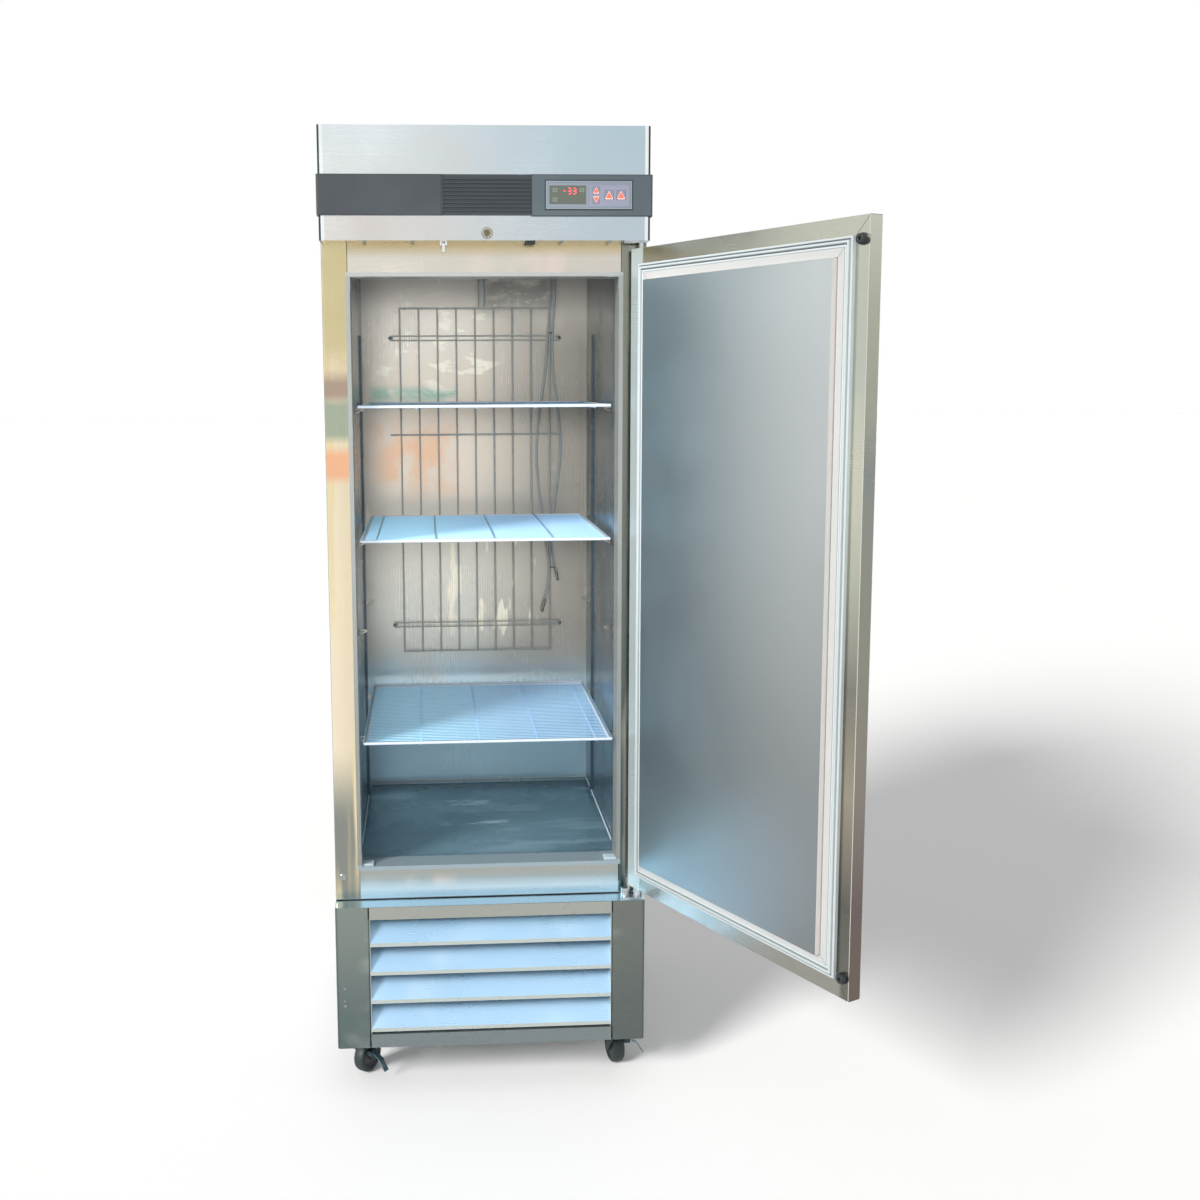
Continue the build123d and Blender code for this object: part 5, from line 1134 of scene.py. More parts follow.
# %% Bright metals
def bright(name, base, worn_to, worn=(0.1, 0.3), stretch=40, metal=1.0):
    material, tree, shader, spot = new_material(name)
    tones = {"Vector": spot, "Stretch": [stretch] * 3, "Under": srgb(base), "Over": srgb(worn_to)}
    colour = use_group(tree, blotch, {**tones, "From": 0.45, "To": 0.7})["Color"]
    finish_metal(tree, shader, spot, colour, (900, 900, 60), 0.05, worn, metal)
    return material


wire_zinc = bright("wire_zinc", "#BDBAAE", "#9FA19B", worn=(0.2, 0.36))
chrome = bright("chrome", "#C9D0D4", "#A4ABAE")
zinc = bright("zinc", "#8F9A9C", "#6C7678", worn=(0.2, 0.38))
guard_zinc = bright("guard_zinc", "#A4ABAA", "#B0B1A9", worn=(0.22, 0.4), metal=0.2)
dark_zinc = bright("dark_zinc", "#2E3C40", "#46565B", worn=(0.24, 0.42), metal=0.5)
pedal_zinc = bright("pedal_zinc", "#5E7A88", "#7F98A4", worn=(0.2, 0.36), metal=0.8)
lock_nickel = bright("lock_nickel", "#C3C3B6", "#9C9A8A", worn=(0.12, 0.28), stretch=200)
brass = bright("brass", "#8D8670", "#6F6A58", worn=(0.14, 0.3), stretch=200)
fin_aluminium = bright("fin_aluminium", "#BFC3C4", "#A7ACAE", worn=(0.3, 0.42), stretch=12)
cover_aluminium = bright("cover_aluminium", "#B4B8B8", "#A2A7A8", worn=(0.28, 0.4), stretch=6)
print("bright metals made")

# %% [markdown]
# ## The display's face
# The display is one moulded frame with a dark window on the left and a lavender key field on the right.
# Both are flush with it, so box masks paint them on its material instead of adding thin plates that
# would fight with the face behind them. Three faint unlit lamps sit in the window's corners.

# %% Display material
DISPLAY = Vector((0.214, -0.40, 1.9605))
display_face = moulded("display_face", "#75868E", "#839097", depth=0.02, coat=0.6)
for off_x, half_x, half_z, blur, code in (
    (0, 0.0865, 0.0255, 0.0006, "#656F7B"),
    (0, 0.0845, 0.0235, 0.0006, "#727B86"),
    (-0.0442, 0.0378, 0.0186, 0.0004, "#4B524A"),
):
    centre = DISPLAY + Vector((off_x, 0, 0))
    layer(display_face, spot_mask(display_face, centre, (half_x, 1, half_z), blur), code)
for x, z in ((0.1434, 1.9704), (0.1434, 1.9513), (0.1993, 1.9705)):
    layer(display_face, spot_mask(display_face, (x, 0, z), (0.0042, 1, 0.0036), 0.0008), "#6F7668")
    layer(display_face, spot_mask(display_face, (x, 0, z), (0.0026, 1, 0.0021), 0.0006), "#565D54")
key_field = spot_mask(display_face, DISPLAY + Vector((0.0418, 0, 0)), (0.0405, 1, 0.0211), 0.0004)
layer(display_face, key_field, "#7B7E8F")
print("display face painted by", len(display_face.node_tree.nodes), "nodes")

# %% [markdown]
# ## Dressing the CAD pieces
# Most CAD pieces already have the right shape and only need their finish. A table says which, and a
# loop puts it into their material slots. Their meshes aren't touched.

# %% Dress the CAD nodes
DRESS = {
    "side_panel_left": left_steel,
    "side_panel_right": right_steel,
    "rear_panel": plain_steel,
    "roof_panel": plain_steel,
    "floor_panel": plain_steel,
    "base_chassis": plain_steel,
    "cabinet_foam": foam,
    "door_foam": foam,
    "front_rails": front_steel,
    "liner_sides": side_steel,
    "liner_rear": back_steel,
    "liner_ceiling": side_steel,
    "liner_floor": floor_steel,
    "breaker_frame": breaker_plastic,
    "shelf_pilasters": side_steel,
    "shelf_clips": wire_zinc,
    "shelf_lower": shelf_coat,
    "shelf_middle": shelf_coat,
    "shelf_upper": shelf_coat,
    "coil_guard": wire_zinc,
    "probe_leads": lead_plastic,
    "evaporator_cover": cover_aluminium,
    "drain_tube": drain_plastic,
    "evaporator_coil": fin_aluminium,
    "condenser": fin_aluminium,
    "evaporator_fan": fan_plastic,
    "condenser_fan": fan_plastic,
    "fan_motors": motor_paint,
    "compressor": motor_paint,
    "hood_panel": hood_steel,
    "hood_band": band_plastic,
    "control_housing": housing_plastic,
    "display_module": display_face,
    "key_up": key_plastic,
    "key_down": key_plastic,
    "key_left": key_plastic,
    "key_right": key_plastic,
    "lock_body": lock_nickel,
    "lock_plug": brass,
    "door_switch": white_plastic,
    "switch_lever": white_plastic,
    "hinge_brackets": chrome,
    "door_pan": rim_steel,
    "door_liner": panel_steel,
    "door_trim": trim_plastic,
    "door_gasket": gasket_rubber,
    "door_bumpers": bumper_rubber,
    "door_handle": black_plastic,
    "base_shell": post_steel,
    "louvre_grille": louvre_steel,
}
for corner in ("fl", "fr", "rl", "rr"):
    DRESS[f"caster_{corner}_fork"] = dark_zinc
    DRESS[f"caster_{corner}_wheel"] = tyre_rubber
for corner in ("fl", "fr"):
    DRESS[f"caster_{corner}_brake"] = pedal_zinc
for node, material in DRESS.items():
    for place_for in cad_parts[node].material_slots:
        place_for.material = material
print("dressed", len(DRESS), "of", len(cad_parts), "nodes")

# %% [markdown]
# ## Bulbs on the leads
# A probe's bulb is a short metal cylinder with rounded ends, so its outline is turned once. Each copy is
# aimed along the last stretch of its lead, so that it seems to grow out of it.

# %% Bulbs
lead_parts = {label: [] for label in LEAD_ROUTES}
bulb = turned(
    "probe_bulb",
    [
        (0, 0),
        (0.0026, 0),
        (0.0026, 0.003),
        (0.0035, 0.0045),
        (0.0035, 0.0335),
        (0.0027, 0.0352),
        (0, 0.036),
    ],
    steps=20,
    degrees=40,
)
for label, route in LEAD_ROUTES.items():
    (near_x, near_z), (end_x, end_z) = route[-2:]
    along = Vector((end_x - near_x, 0, end_z - near_z)).to_track_quat("Z", "Y").to_matrix().to_4x4()
    piece = copy_to(bulb, f"probe_bulb_{label}", at(end_x, LEAD_Y, end_z) @ along)
    settle(piece, "cabinet", wire_zinc)
    lead_parts[label].append(piece)
bpy.data.objects.remove(bulb)

# %% [markdown]
# ## Ties on the leads
# A tie is a nylon loop pulled round both leads: two straight runs and two half turns about their
# centres. The long lead carries the upper tie, and the short lead the lower one.

# %% Ties
TIE_RADIUS = 0.0009
TIE_BEND = LEAD_RADIUS + TIE_RADIUS
for label, left, right, height in (("long", 0.1893, 0.2003, 1.706), ("short", 0.1915, 0.2067, 1.0945)):
    piece = bent_wire(
        f"lead_tie_{label}",
        TIE_RADIUS,
        (left, LEAD_Y - TIE_BEND, height),
        X,
        Z,
        [(right - left, 180, TIE_BEND)] * 2,
        closed=True,
        steps=8,
    )
    settle(piece, "cabinet", black_plastic)
    lead_parts[label].append(piece)

# %% [markdown]
# ## Dressing the leads
# With bulbs and ties made, each lead gets its plastic finish.

for label, lead in leads.items():
    lead.data.materials.append(lead_plastic)
    print(lead.name, "is declared with", len(lead_parts[label]), "pieces on it")

# %% [markdown]
# ## Wire shelves
# A freezer shelf is a frame of thick wire with four bars across it from front to back and a grid of
# thin wires laid on them and welded. One wire of each kind is bent or drawn, and an Array modifier
# repeats it at the jig's pitch. A picture of a grid on a flat plate would look wrong from the side.

# %% Shelf helpers
SHELF_HALF_WIDTH, SHELF_HALF_DEPTH = 0.275, 0.282
FRAME_WIRE, BAR_WIRE, GRID_WIRE = 0.0034, 0.0022, 0.0012
CORNER_BEND = 0.005


def row(wire, count, step):
    """Repeat a wire at a fixed step."""
    modify(
        wire,
        "ARRAY",
        count=count,
        use_relative_offset=False,
        use_constant_offset=True,
        constant_offset_displace=step,
    )
    return wire


def plain_shelf(name, side):
    """Bend a shelf about the origin; a side of -1 turns it over, bars up."""
    loop = bent_wire(
        name,
        FRAME_WIRE,
        (-SHELF_HALF_WIDTH, -SHELF_HALF_DEPTH, 0.0004),
        X,
        Z,
        [(2 * SHELF_HALF_WIDTH, 90, CORNER_BEND), (0.554, 90, CORNER_BEND)] * 2,
        closed=True,
        sides=12,
        steps=5,
    )
    thin = bent_wire(f"{name}_grid", GRID_WIRE, (-0.2775, -0.272, 0), X, Z, [(0.555, 0, 0)])
    row(thin, 41, (0, 0.0136, 0))
    radius, first = (BAR_WIRE, -0.149) if side > 0 else (0.0016, -0.241)
    bar = bent_wire(
        f"{name}_bars", radius, (first, -0.2795, -0.0031 * side), Y, X, [(0.559, 0, 0)], sides=10
    )
    row(bar, 4, (0.130, 0, 0))
    return loop, join(f"{name}_grid", [thin, bar])


print("shelf helpers ready")

# %% [markdown]
# ## Three shelves at their levels
# The shelves are bent about the origin and carried to their levels. In the photograph the middle one
# lies the other way up, with its bars on top. Each one rides on its own body, since it can be lifted
# off its clips.

# %% Shelves
SHELVES = {"lower": (1, -0.058, 0.791), "middle": (-1, -0.012, 1.2335), "upper": (1, -0.012, 1.527)}
shelves = {}
for label, (side, middle_y, level) in SHELVES.items():
    shelves[label] = plain_shelf(f"shelf_{label}_frame", side)
    for piece in shelves[label]:
        place(piece, at(0, middle_y, level))
for label, (loop, grid) in shelves.items():
    body = f"shelf_{label}"
    settle(loop, body, frame_coat, [body])
    settle(grid, body, shelf_coat, [body])

# %% [markdown]
# ## The lower shelf's ladder
# The lower shelf also has a raised ladder along its rear edge, which keeps goods off the back wall. It
# is one wire bent up, across and down, with a row of short stubs under it.

# %% Ladder
rail = bent_wire(
    "ladder_rail",
    BAR_WIRE,
    (-0.270, SHELF_HALF_DEPTH, 0.002),
    Z,
    Y,
    [(0.0082, 90, 0.004), (0.532, 90, 0.004), (0.0082, 0, 0)],
    sides=10,
    steps=4,
)
stub = bent_wire("ladder_stubs", GRID_WIRE, (-0.2484, SHELF_HALF_DEPTH, 0.0015), Z, Y, [(0.0125, 0, 0)])
shelf_rail = join("ladder_rail", [rail, row(stub, 28, (0.0184, 0, 0))])
place(shelf_rail, at(0, *SHELVES["lower"][1:]))
settle(shelf_rail, "shelf_lower", frame_coat, ["shelf_lower"])

# %% [markdown]
# ## The wire guard
# The guard over the cold coil is drawn wire too. Three plain rails carry nine uprights, and the two
# rails that take the screws are hairpins: one wire runs out, bends round a screw and comes back.

# %% Guard wires
SCREW_REACH = 0.218
SCREW_HEIGHTS = (0.9445, 1.6935)
EYE_BEND = 0.0056
wires = [
    bent_wire(f"guard_rail_{number}", 0.0022, (-reach, 0.286, height), X, Z, [(2 * reach, 0, 0)], sides=12)
    for number, (height, reach) in enumerate(((0.874, 0.1951), (1.445, 0.221), (1.769, 0.1951)))
]
for height in SCREW_HEIGHTS:
    wires.append(
        bent_wire(
            f"guard_hairpin_{round(height * 1000)}",
            0.0017,
            (-SCREW_REACH, 0.286, height - EYE_BEND),
            X,
            -Y,
            [(2 * SCREW_REACH, 180, EYE_BEND)] * 2,
            closed=True,
            sides=10,
            steps=10,
        )
    )
upright = bent_wire("guard_uprights", 0.0019, (-0.1936, 0.2825, 0.874), Z, Y, [(0.897, 0, 0)], sides=10)
guard = join("guard_wires", [row(upright, 9, (0.0484, 0, 0)), *wires])
settle(guard, "cabinet", guard_zinc, ["coil_guard"])

# %% [markdown]
# ## The guard's screws
# Four pan-head screws hold the hairpins off the back wall. The outline of head and shank is turned, and
# each copy is laid on its side, so that its head looks out of the cavity.

# %% Guard screws
screw = turned(
    "pan_screw",
    [
        (0, -0.012),
        (0.0025, -0.012),
        (0.0025, 0),
        (0.0045, 0),
        (0.0046, 0.0009),
        (0.0038, 0.0022),
        (0.002, 0.0028),
        (0, 0.003),
    ],
    steps=20,
)
spots = [(side * SCREW_REACH, height) for side in (-1, 1) for height in SCREW_HEIGHTS]
screws = [
    copy_to(screw, f"guard_screw_{number}", at(x, 0.284, z, 90)) for number, (x, z) in enumerate(spots)
]
settle(join("guard_screws", screws), "cabinet", zinc, ["coil_guard"])
bpy.data.objects.remove(screw)

# %% [markdown]
# ## Rubber bumpers on the door
# Two soft buttons near the latch edge keep the door from slamming. Each is a low cone with a rounded
# shoulder and a screw sunk in its middle. It is turned once, placed as if the door were shut, and
# carried round the hinge with the open door.

# %% Door bumpers
SWUNG = Matrix.Translation(HINGE) @ Matrix.Rotation(OPEN, 4, "Z") @ Matrix.Translation(-HINGE)
DOOR_INSIDE = -0.3644
button = turned(
    "door_bumper",
    [
        (0, 0),
        (0.0105, 0),
        (0.0104, 0.0025),
        (0.0092, 0.0085),
        (0.0084, 0.0098),
        (0.0072, 0.0104),
        (0.0042, 0.0104),
        (0.0032, 0.0098),
        (0.0030, 0.0050),
        (0, 0.0050),
    ],
    steps=36,
)
head = turned(
    "bumper_screw",
    [(0, 0.0045), (0.0029, 0.0045), (0.0027, 0.0060), (0.0014, 0.0068), (0, 0.0070)],
    steps=18,
)
for label, height in (("low", 0.505), ("high", 1.8138)):
    inward = SWUNG @ at(-0.324, DOOR_INSIDE, height, -90)
    for shape, name, material in (
        (button, f"door_bumper_{label}", bumper_rubber),
        (head, f"bumper_screw_{label}", zinc),
    ):
        settle(copy_to(shape, name, inward), "door", material, ["door_bumpers"])
bpy.data.objects.remove(button)
bpy.data.objects.remove(head)

# %% [markdown]
# ## The magnetic gasket
# The gasket is one soft extrusion, cut at 45 degrees and welded into a frame, so its ribs run all round
# and meet in mitres. Insetting a rectangle step by step, each time a little higher or lower, draws that
# section and gives the mitres at the same time. A swept section would need its corners mended.

# %% Gasket
SHUT_DOOR = Matrix(((-1, 0, 0, 0), (0, 0, 1, DOOR_INSIDE), (0, 1, 0, 1.1594), (0, 0, 0, 1)))
GASKET_WIDTH, GASKET_HEIGHT, GASKET_FOOT = 0.614, 1.3228, 0.0065
GASKET_STEPS = (
    (0.0012, 0.0012),
    (0.0026, 0.0002),
    (0.0008, -0.0032),
    (0.0016, 0.0000),
    (0.0008, 0.0046),
    (0.0010, 0.0014),
    (0.0022, 0.0003),
    (0.0010, -0.0014),
    (0.0008, -0.0046),
    (0.0016, 0.0000),
    (0.0008, 0.0028),
    (0.0026, 0.0002),
    (0.0010, -0.0012),
)


def top_face(level):
    return lambda centre, normal: abs(centre.z - level) < 1e-5 and centre.xy.length < 1e-4


seal = start("gasket_seal", bpy.ops.mesh.primitive_plane_add, size=1)
edit()
bpy.ops.transform.resize(value=(GASKET_WIDTH, GASKET_HEIGHT, 1), center_override=(0, 0, 0))
height = GASKET_FOOT
grow((0, 0, height))
for inward, rise in GASKET_STEPS:
    pick_faces(seal, top_face(height))
    bpy.ops.mesh.inset(thickness=inward, depth=0)
    if rise:
        bpy.ops.transform.translate(value=(0, 0, rise))
    height += rise
pick_faces(seal, top_face(height))
grow((0, 0, -height))
pick_faces(seal, top_face(0.0))
bpy.ops.mesh.delete(type="FACE")
pick_edges(seal, lambda middle: abs(middle.z) < 1e-5)
bpy.ops.mesh.bridge_edge_loops()
close_up()
done()
place(seal, SWUNG @ SHUT_DOOR)
smooth(seal, 25)
settle(seal, "door", gasket_rubber, ["door_gasket"])

# %% [markdown]
# ## Caster wheels
# A furniture caster's wheel is a hard hub in a softer tread. Both outlines are turned about the axle:
# the tread with rounded shoulders, the hub with a dished face and a boss at the middle. Only half of
# each hub's outline is given, and the other half is its mirror image.

# %% Tread and hub
WHEEL_RADIUS = 0.0375
half_tread = [
    (0.0262, -0.0118),
    (0.0300, -0.0133),
    (0.0338, -0.0128),
    (0.0362, -0.0108),
    (0.0373, -0.0078),
]
half_hub = [
    (0, 0.0134),
    (0.0068, 0.0134),
    (0.0076, 0.0126),
    (0.0080, 0.0086),
    (0.0205, 0.0070),
    (0.0245, 0.0096),
    (0.0268, 0.0108),
]


def mirrored(outline):
    return [(radius, -height) for radius, height in reversed(outline)]


tread_outline = [*half_tread, (WHEEL_RADIUS, 0), *mirrored(half_tread), half_tread[0]]
tread = turned("tread", tread_outline, steps=48)
hub = turned("hub", half_hub + mirrored(half_hub), steps=48)
print("tread and hub turned, radius", WHEEL_RADIUS, "m")

# %% [markdown]
# ## A wheel for each caster
# Each caster stands turned its own way, as it was left when the cabinet was last rolled. Its axle lies
# behind the swivel pin by the trail, so the wheel's place follows from the pin and the turn.

# %% Wheels
TRAIL = 0.025
for corner, (x, y, degrees) in {
    "fl": (-0.298, -0.302, -35),
    "fr": (0.298, -0.302, 12),
    "rl": (-0.298, 0.282, 20),
    "rr": (0.298, 0.282, -15),
}.items():
    angle = math.radians(degrees)
    hub_x, hub_y = x - TRAIL * math.sin(angle), y + TRAIL * math.cos(angle)
    axle = at(hub_x, hub_y, WHEEL_RADIUS, degrees, "Z") @ at(0, 0, 0, 90, "Y")
    wheel = f"caster_{corner}_wheel"
    settle(copy_to(tread, f"caster_{corner}_tread", axle), wheel, tyre_rubber, [wheel])
    settle(copy_to(hub, f"caster_{corner}_hub", axle), wheel, fan_plastic, [wheel])
bpy.data.objects.remove(tread)
bpy.data.objects.remove(hub)

# %% [markdown]
# ## The display's digits
# The read-out is a red seven-segment display behind dark glass. Each segment is a thin bar with pointed
# ends, here a six-sided disc pulled apart at its middle. It glows weakly, because the photograph was
# taken in daylight, and its red is a little uneven, as a lit plastic bar is.

# %% Digit helpers
segment_look, segment_tree, segment_shader, segment_spot = new_material("segment_red")
reds = {"Under": srgb("#F0283C"), "Over": srgb("#FF6A70"), "From": 0.4, "To": 0.7}
uneven = use_group(segment_tree, blotch, {"Vector": segment_spot, "Stretch": (300, 300, 300), **reds})
feed(segment_tree, segment_shader.inputs["Base Color"], uneven["Color"])
feed(segment_tree, segment_shader.inputs["Emission Color"], uneven["Color"])
segment_shader.inputs["Emission Strength"].default_value = 0.9

SEGMENT_WIDTH, SEGMENT_DEPTH = 0.0022, 0.00015
WINDOW_Y = -0.4023


def segment(name, x, z, length, upright):
    """Stretch a six-sided disc to a segment with pointed ends."""
    piece = start(
        name,
        bpy.ops.mesh.primitive_circle_add,
        vertices=6,
        radius=SEGMENT_WIDTH / 2,
        fill_type="NGON",
    )
    edit("VERT")
    for side in (-1, 1):
        pick(piece, "VERT", lambda corner: corner.co.x * side > 1e-5)
        bpy.ops.transform.translate(value=(side * (length - SEGMENT_WIDTH) / 2, 0, 0))
    bpy.ops.mesh.select_all(action="SELECT")
    grow((0, 0, SEGMENT_DEPTH))
    close_up()
    done()
    place(piece, at(x, WINDOW_Y, z, 90) @ at(0, 0, 0, 90 if upright else 0, "Z"))
    return piece


print("digit helpers ready")

# %% [markdown]
# ## A read-out of minus 33
# A digit lights some of the seven bars, which are named by letters as on any such display. A small
# table places the bars that are used, in shares of the digit's width and height.

# %% Digits
DIGIT_TALL, DIGIT_WIDE = 0.0116, 0.0062
READ_OUT_Z = 1.9685
BARS = {
    "a": (0, 0.5, False),
    "b": (0.5, 0.25, True),
    "c": (0.5, -0.25, True),
    "d": (0, -0.5, False),
    "g": (0, 0, False),
}
lit = [segment("segment_minus", 0.1630, READ_OUT_Z, 0.0058, False)]
for number, centre_x in enumerate((0.1735, 0.1835)):
    for letter, (across, up, upright) in BARS.items():
        x, z = centre_x + across * DIGIT_WIDE, READ_OUT_Z + up * DIGIT_TALL
        lit.append(segment(f"segment_{number}_{letter}", x, z, 0.0052, upright))
settle(join("display_digits", lit), "cabinet", segment_look)

# %% [markdown]
# ## The marks on the keys
# The keys carry printed triangles, an arrow with a paler border. Each is a thin three-sided disc with
# softened corners, and rides on its key, so it sinks when the key is pressed. The mark lies a tenth of
# a millimetre over its border.

# %% Key marks
KEY_FACE_Y = -0.4030


def triangle(name, key, x, z, side, lift, down, look):
    """Print one triangle with rounded corners on a key."""
    piece = start(name, bpy.ops.mesh.primitive_circle_add, vertices=3, radius=1, fill_type="NGON")
    edit("VERT")
    bpy.ops.transform.resize(value=(side / math.sqrt(3), side / 1.5, 1), center_override=(0, 0, 0))
    bpy.ops.transform.translate(value=(0, -side / 6, 0))
    bpy.ops.mesh.bevel(offset=side * 0.09, segments=4, affect="VERTICES")
    bpy.ops.mesh.select_all(action="SELECT")
    grow((0, 0, 0.00012))
    close_up()
    done()
    place(piece, at(x, KEY_FACE_Y - lift, z, 90) @ at(0, 0, 0, 180 if down else 0, "Z"))
    settle(piece, key, look)


for key, x, z, side, down in (
    ("key_up", 0.2288, 1.9701, 0.0134, False),
    ("key_down", 0.2288, 1.9509, 0.0134, True),
    ("key_left", 0.2556, 1.9605, 0.0172, False),
    ("key_right", 0.2805, 1.9605, 0.0172, False),
):
    triangle(f"{key}_border", key, x, z, side, 0.0, down, border_print)
    triangle(f"{key}_mark", key, x, z, side * 0.78, 0.0001, down, arrow_plastic)

# %% [markdown]
# ## Screws under the hood
# Four round-headed screws hold the hood from below, and their heads are just seen over the opening.
# One is turned and copied, head down.

# %% Hood screws
HOOD_UNDERSIDE = 1.8695
underside = turned(
    "hood_screw",
    [(0, -0.002), (0.0040, -0.002), (0.0040, 0), (0.0032, 0.0022), (0.0012, 0.0030), (0, 0.0030)],
    steps=18,
)
heads = [
    copy_to(underside, f"hood_screw_{number}", at(x, -0.372, HOOD_UNDERSIDE, 180))
    for number, x in enumerate((-0.252, -0.152, 0.159, 0.260))
]
settle(join("hood_screws", heads), "cabinet", zinc)
bpy.data.objects.remove(underside)

# %% [markdown]
# ## A plug in the stile
# A spare hole low on the left stile is closed by a thin steel plug with a raised ring. Its outline is
# turned and laid on its side.

# %% Plug
plug = turned(
    "face_plug",
    [
        (0, -0.001),
        (0.0072, -0.001),
        (0.0072, 0.0002),
        (0.0064, 0.0007),
        (0.0050, 0.0007),
        (0.0046, 0.0003),
        (0, 0.0003),
    ],
    steps=28,
)
place(plug, at(-0.326, -0.352, 0.492, 90))
settle(plug, "cabinet", plain_steel)

# %% [markdown]
# ## A catch under the hood
# A small black catch sits under the hood. It is a moulded block with rounded edges and one sunken face,
# so a helper bevels a cube and insets the face that looks a given way. The sill's corner pieces will
# use it again.

# %% Catch
def block(name, place_at, size, way, bevel, rim, sink):
    """Bevel a box and sink the face that looks along way."""
    piece = start(name, bpy.ops.mesh.primitive_cube_add, size=1, location=place_at, scale=size)
    edit()
    bpy.ops.mesh.bevel(offset=bevel, segments=3)
    pick_faces(piece, lambda centre, normal: normal.dot(way) > 0.9)
    bpy.ops.mesh.inset(thickness=rim, depth=-sink)
    close_up()
    done()
    smooth(piece)
    return piece


catch = block("hood_catch", (0.094, -0.372, 1.8670), (0.021, 0.014, 0.006), -Z, 0.0012, 0.002, 0.0008)
settle(catch, "cabinet", black_plastic)

# %% [markdown]
# ## The bead round the cavity's floor
# Where the floor meets the walls, a bead of sealant runs along three sides. A sealant bead is smeared
# and uneven, but at this size a thin wire bent round two corners shows the same pale line.

# %% Floor bead
floor_bead = bent_wire(
    "floor_bead",
    0.0022,
    (-0.2895, -0.288, 0.5212),
    Y,
    Z,
    [(0.578, -90, 0.006), (0.567, -90, 0.006), (0.578, 0, 0)],
    steps=5,
)
settle(floor_bead, "cabinet", bead_sealant)

# %% [markdown]
# ## Rivets on the post
# Three blind rivets show on the base's left post. A rivet's head is a flat dome, turned once and
# copied to the places that the photograph gives.

# %% Post rivets
rivet = turned(
    "post_rivet",
    [(0, -0.001), (0.0030, -0.001), (0.0032, 0.0002), (0.0026, 0.0008), (0.0012, 0.0011), (0, 0.0011)],
    steps=18,
)
rivets = [
    copy_to(rivet, f"post_rivet_{number}", at(x, -0.3975, z, 90))
    for number, (x, z) in enumerate(((-0.3242, 0.2519), (-0.3249, 0.2216), (-0.3240, 0.2111)))
]
settle(join("post_rivets", rivets), "cabinet", zinc)
bpy.data.objects.remove(rivet)

# %% [markdown]
# ## The lock's rim
# A thin dark ring frames the round lock. It is a wire of four quarter turns with no straight runs.

# %% Lock rim
lock_rim = bent_wire(
    "lock_rim",
    0.0007,
    (0.0142, -0.3978, 1.8845),
    Z,
    -Y,
    [(0, 90, 0.0112)] * 4,
    closed=True,
    steps=10,
)
settle(lock_rim, "cabinet", dark_zinc)

# %% [markdown]
# ## Corner pieces on the sill
# Two pale moulded pieces close the corners where the sill's breaker strip meets the upright ones. They
# are the same kind of block as the catch, so one is made by its helper, sunken face to the front, and
# copied to both ends.

# %% Sill corners
corner_block = block("sill_corner", (0, 0, 0), (0.030, 0.030, 0.0135), -Y, 0.0016, 0.0018, 0.0006)
for label, x in (("left", -0.2725), ("right", 0.2725)):
    piece = copy_to(corner_block, f"sill_corner_{label}", at(x, -0.3345, 0.5125))
    settle(piece, "cabinet", bead_sealant)
bpy.data.objects.remove(corner_block)

# %% [markdown]
# ## The floor
# The photograph shows the freezer cut out on white, with a broad soft shadow to the right. A large pale
# floor catches that shadow. A little light of its own, seen only by the camera and in reflections,
# lifts it to white without brightening the freezer's underside.

# %% Floor
bpy.ops.mesh.primitive_plane_add(size=120, location=(0, 0, -0.0005))
floor = bpy.context.object
floor.name = "floor"
floor_look, floor_tree, floor_shader, _ = new_material("floor")
floor_tree.nodes.remove(floor_shader)
pale = add_node(floor_tree, "BsdfDiffuse", {"Color": (0.93, 0.93, 0.93, 1)})
seen = add_node(floor_tree, "LightPath").outputs
shown = number_math(floor_tree, "MAXIMUM", seen["Is Camera Ray"], seen["Is Glossy Ray"])
lift = number_math(floor_tree, "MULTIPLY", shown, 0.05)
glow = add_node(floor_tree, "Emission", {"Color": (1, 1, 1, 1), "Strength": lift})
total = add_node(floor_tree, "AddShader", {0: pale.outputs[0], 1: glow.outputs[0]})
feed(floor_tree, floor_tree.nodes["Material Output"].inputs["Surface"], total.outputs[0])
floor.data.materials.append(floor_look)
print("floor at", round(floor.location.z, 4))

# %% [markdown]
# ## The world
# The world lights evenly from all sides. It is plain white to the camera, and in reflections it slopes
# a little from floor to sky, so that the steel has something to show. One plain background for all
# rays would either light the cavity too much or leave the picture's backdrop grey.

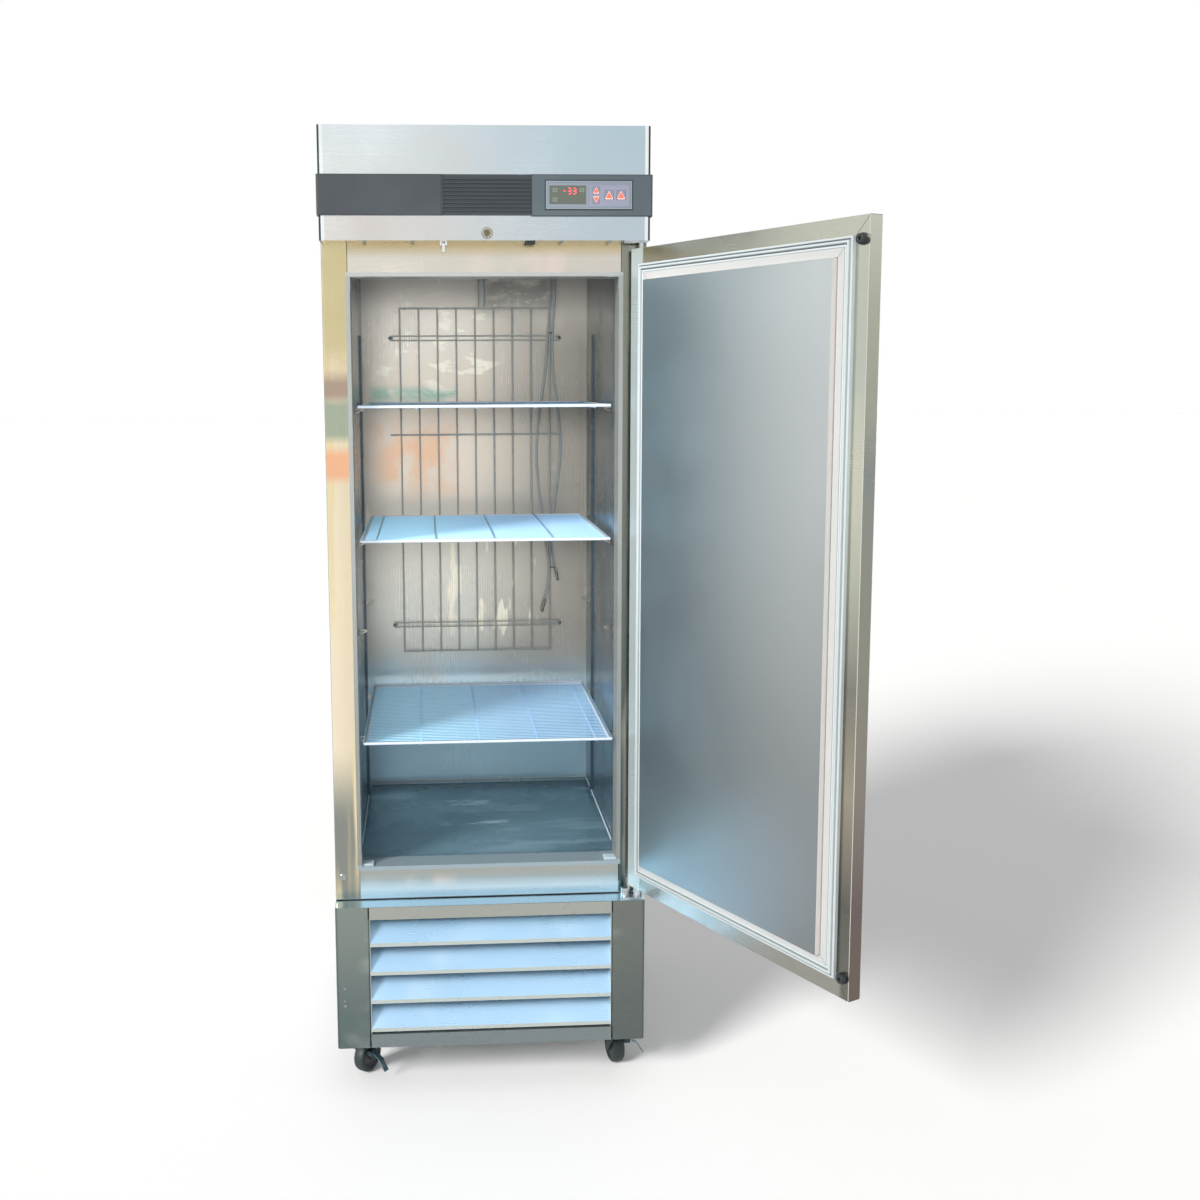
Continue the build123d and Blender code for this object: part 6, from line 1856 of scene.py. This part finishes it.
# %% World
world = bpy.data.worlds.new("studio")
bpy.context.scene.world = world
world.use_nodes = True
sky = world.node_tree
even = sky.nodes["Background"]
even.inputs["Color"].default_value = (1, 1, 1, 1)
even.inputs["Strength"].default_value = 0.48
white = add_node(sky, "Background", {"Color": (1, 1, 1, 1), "Strength": 1.0})
upward = add_node(sky, "SeparateXYZ", {0: add_node(sky, "TexCoord").outputs["Generated"]})
slope = add_node(sky, "MapRange", {0: upward.outputs["Z"], 1: -0.25, 2: 0.5})
shades = mix_colours(sky, slope.outputs[0], (0.80, 0.80, 0.78, 1), (1.0, 1.0, 1.0, 1))
mirror = add_node(sky, "Background", {"Color": shades, "Strength": 1.0})
path = add_node(sky, "LightPath").outputs
shiny = number_math(sky, "MAXIMUM", path["Is Glossy Ray"], path["Is Transmission Ray"])
reflect = add_node(sky, "MixShader", {"Fac": shiny, 1: even.outputs[0], 2: mirror.outputs[0]})
show = add_node(
    sky, "MixShader", {"Fac": path["Is Camera Ray"], 1: reflect.outputs[0], 2: white.outputs[0]}
)
feed(sky, sky.nodes["World Output"].inputs["Surface"], show.outputs[0])
print("world set")

# %% [markdown]
# ## Two lamps
# A wide sun from the left front, as from a large window, throws the soft shadow to the right and back.
# Its direction comes from the shadow's own outline. A weaker spot from near the camera reaches into the
# cavity, as a room's light does, and is hidden from reflections, where it would show as a hot dot.

# %% Lamps
sun_data = bpy.data.lights.new("window_light", "SUN")
sun_data.energy = 3.7
sun_data.angle = math.radians(18)
sun_data.color = (1.0, 0.99, 0.975)
sun = bpy.data.objects.new("window_light", sun_data)
sun.rotation_euler = Vector((0.635, 0.613, -0.469)).to_track_quat("-Z", "Y").to_euler()
bpy.context.scene.collection.objects.link(sun)

fill_data = bpy.data.lights.new("front_fill", "SPOT")
fill_data.energy = 300
fill_data.spot_size = math.radians(32)
fill_data.spot_blend = 1.0
fill_data.shadow_soft_size = 0.3
fill = bpy.data.objects.new("front_fill", fill_data)
fill.location = (-0.35, -3.2, 1.75)
BACK_WALL_MIDDLE = Vector((0.0, 0.298, 1.40))
fill.rotation_euler = (BACK_WALL_MIDDLE - fill.location).to_track_quat("-Z", "Y").to_euler()
fill.visible_glossy = False
bpy.context.scene.collection.objects.link(fill)
print("lamps set:", sun.name, "and", fill.name)

# %% [markdown]
# ## Colour
# The Standard view shows colours as they were matched, where a film-like view would bend them.

# %% Colour and finish
bpy.context.scene.view_settings.view_transform = "Standard"
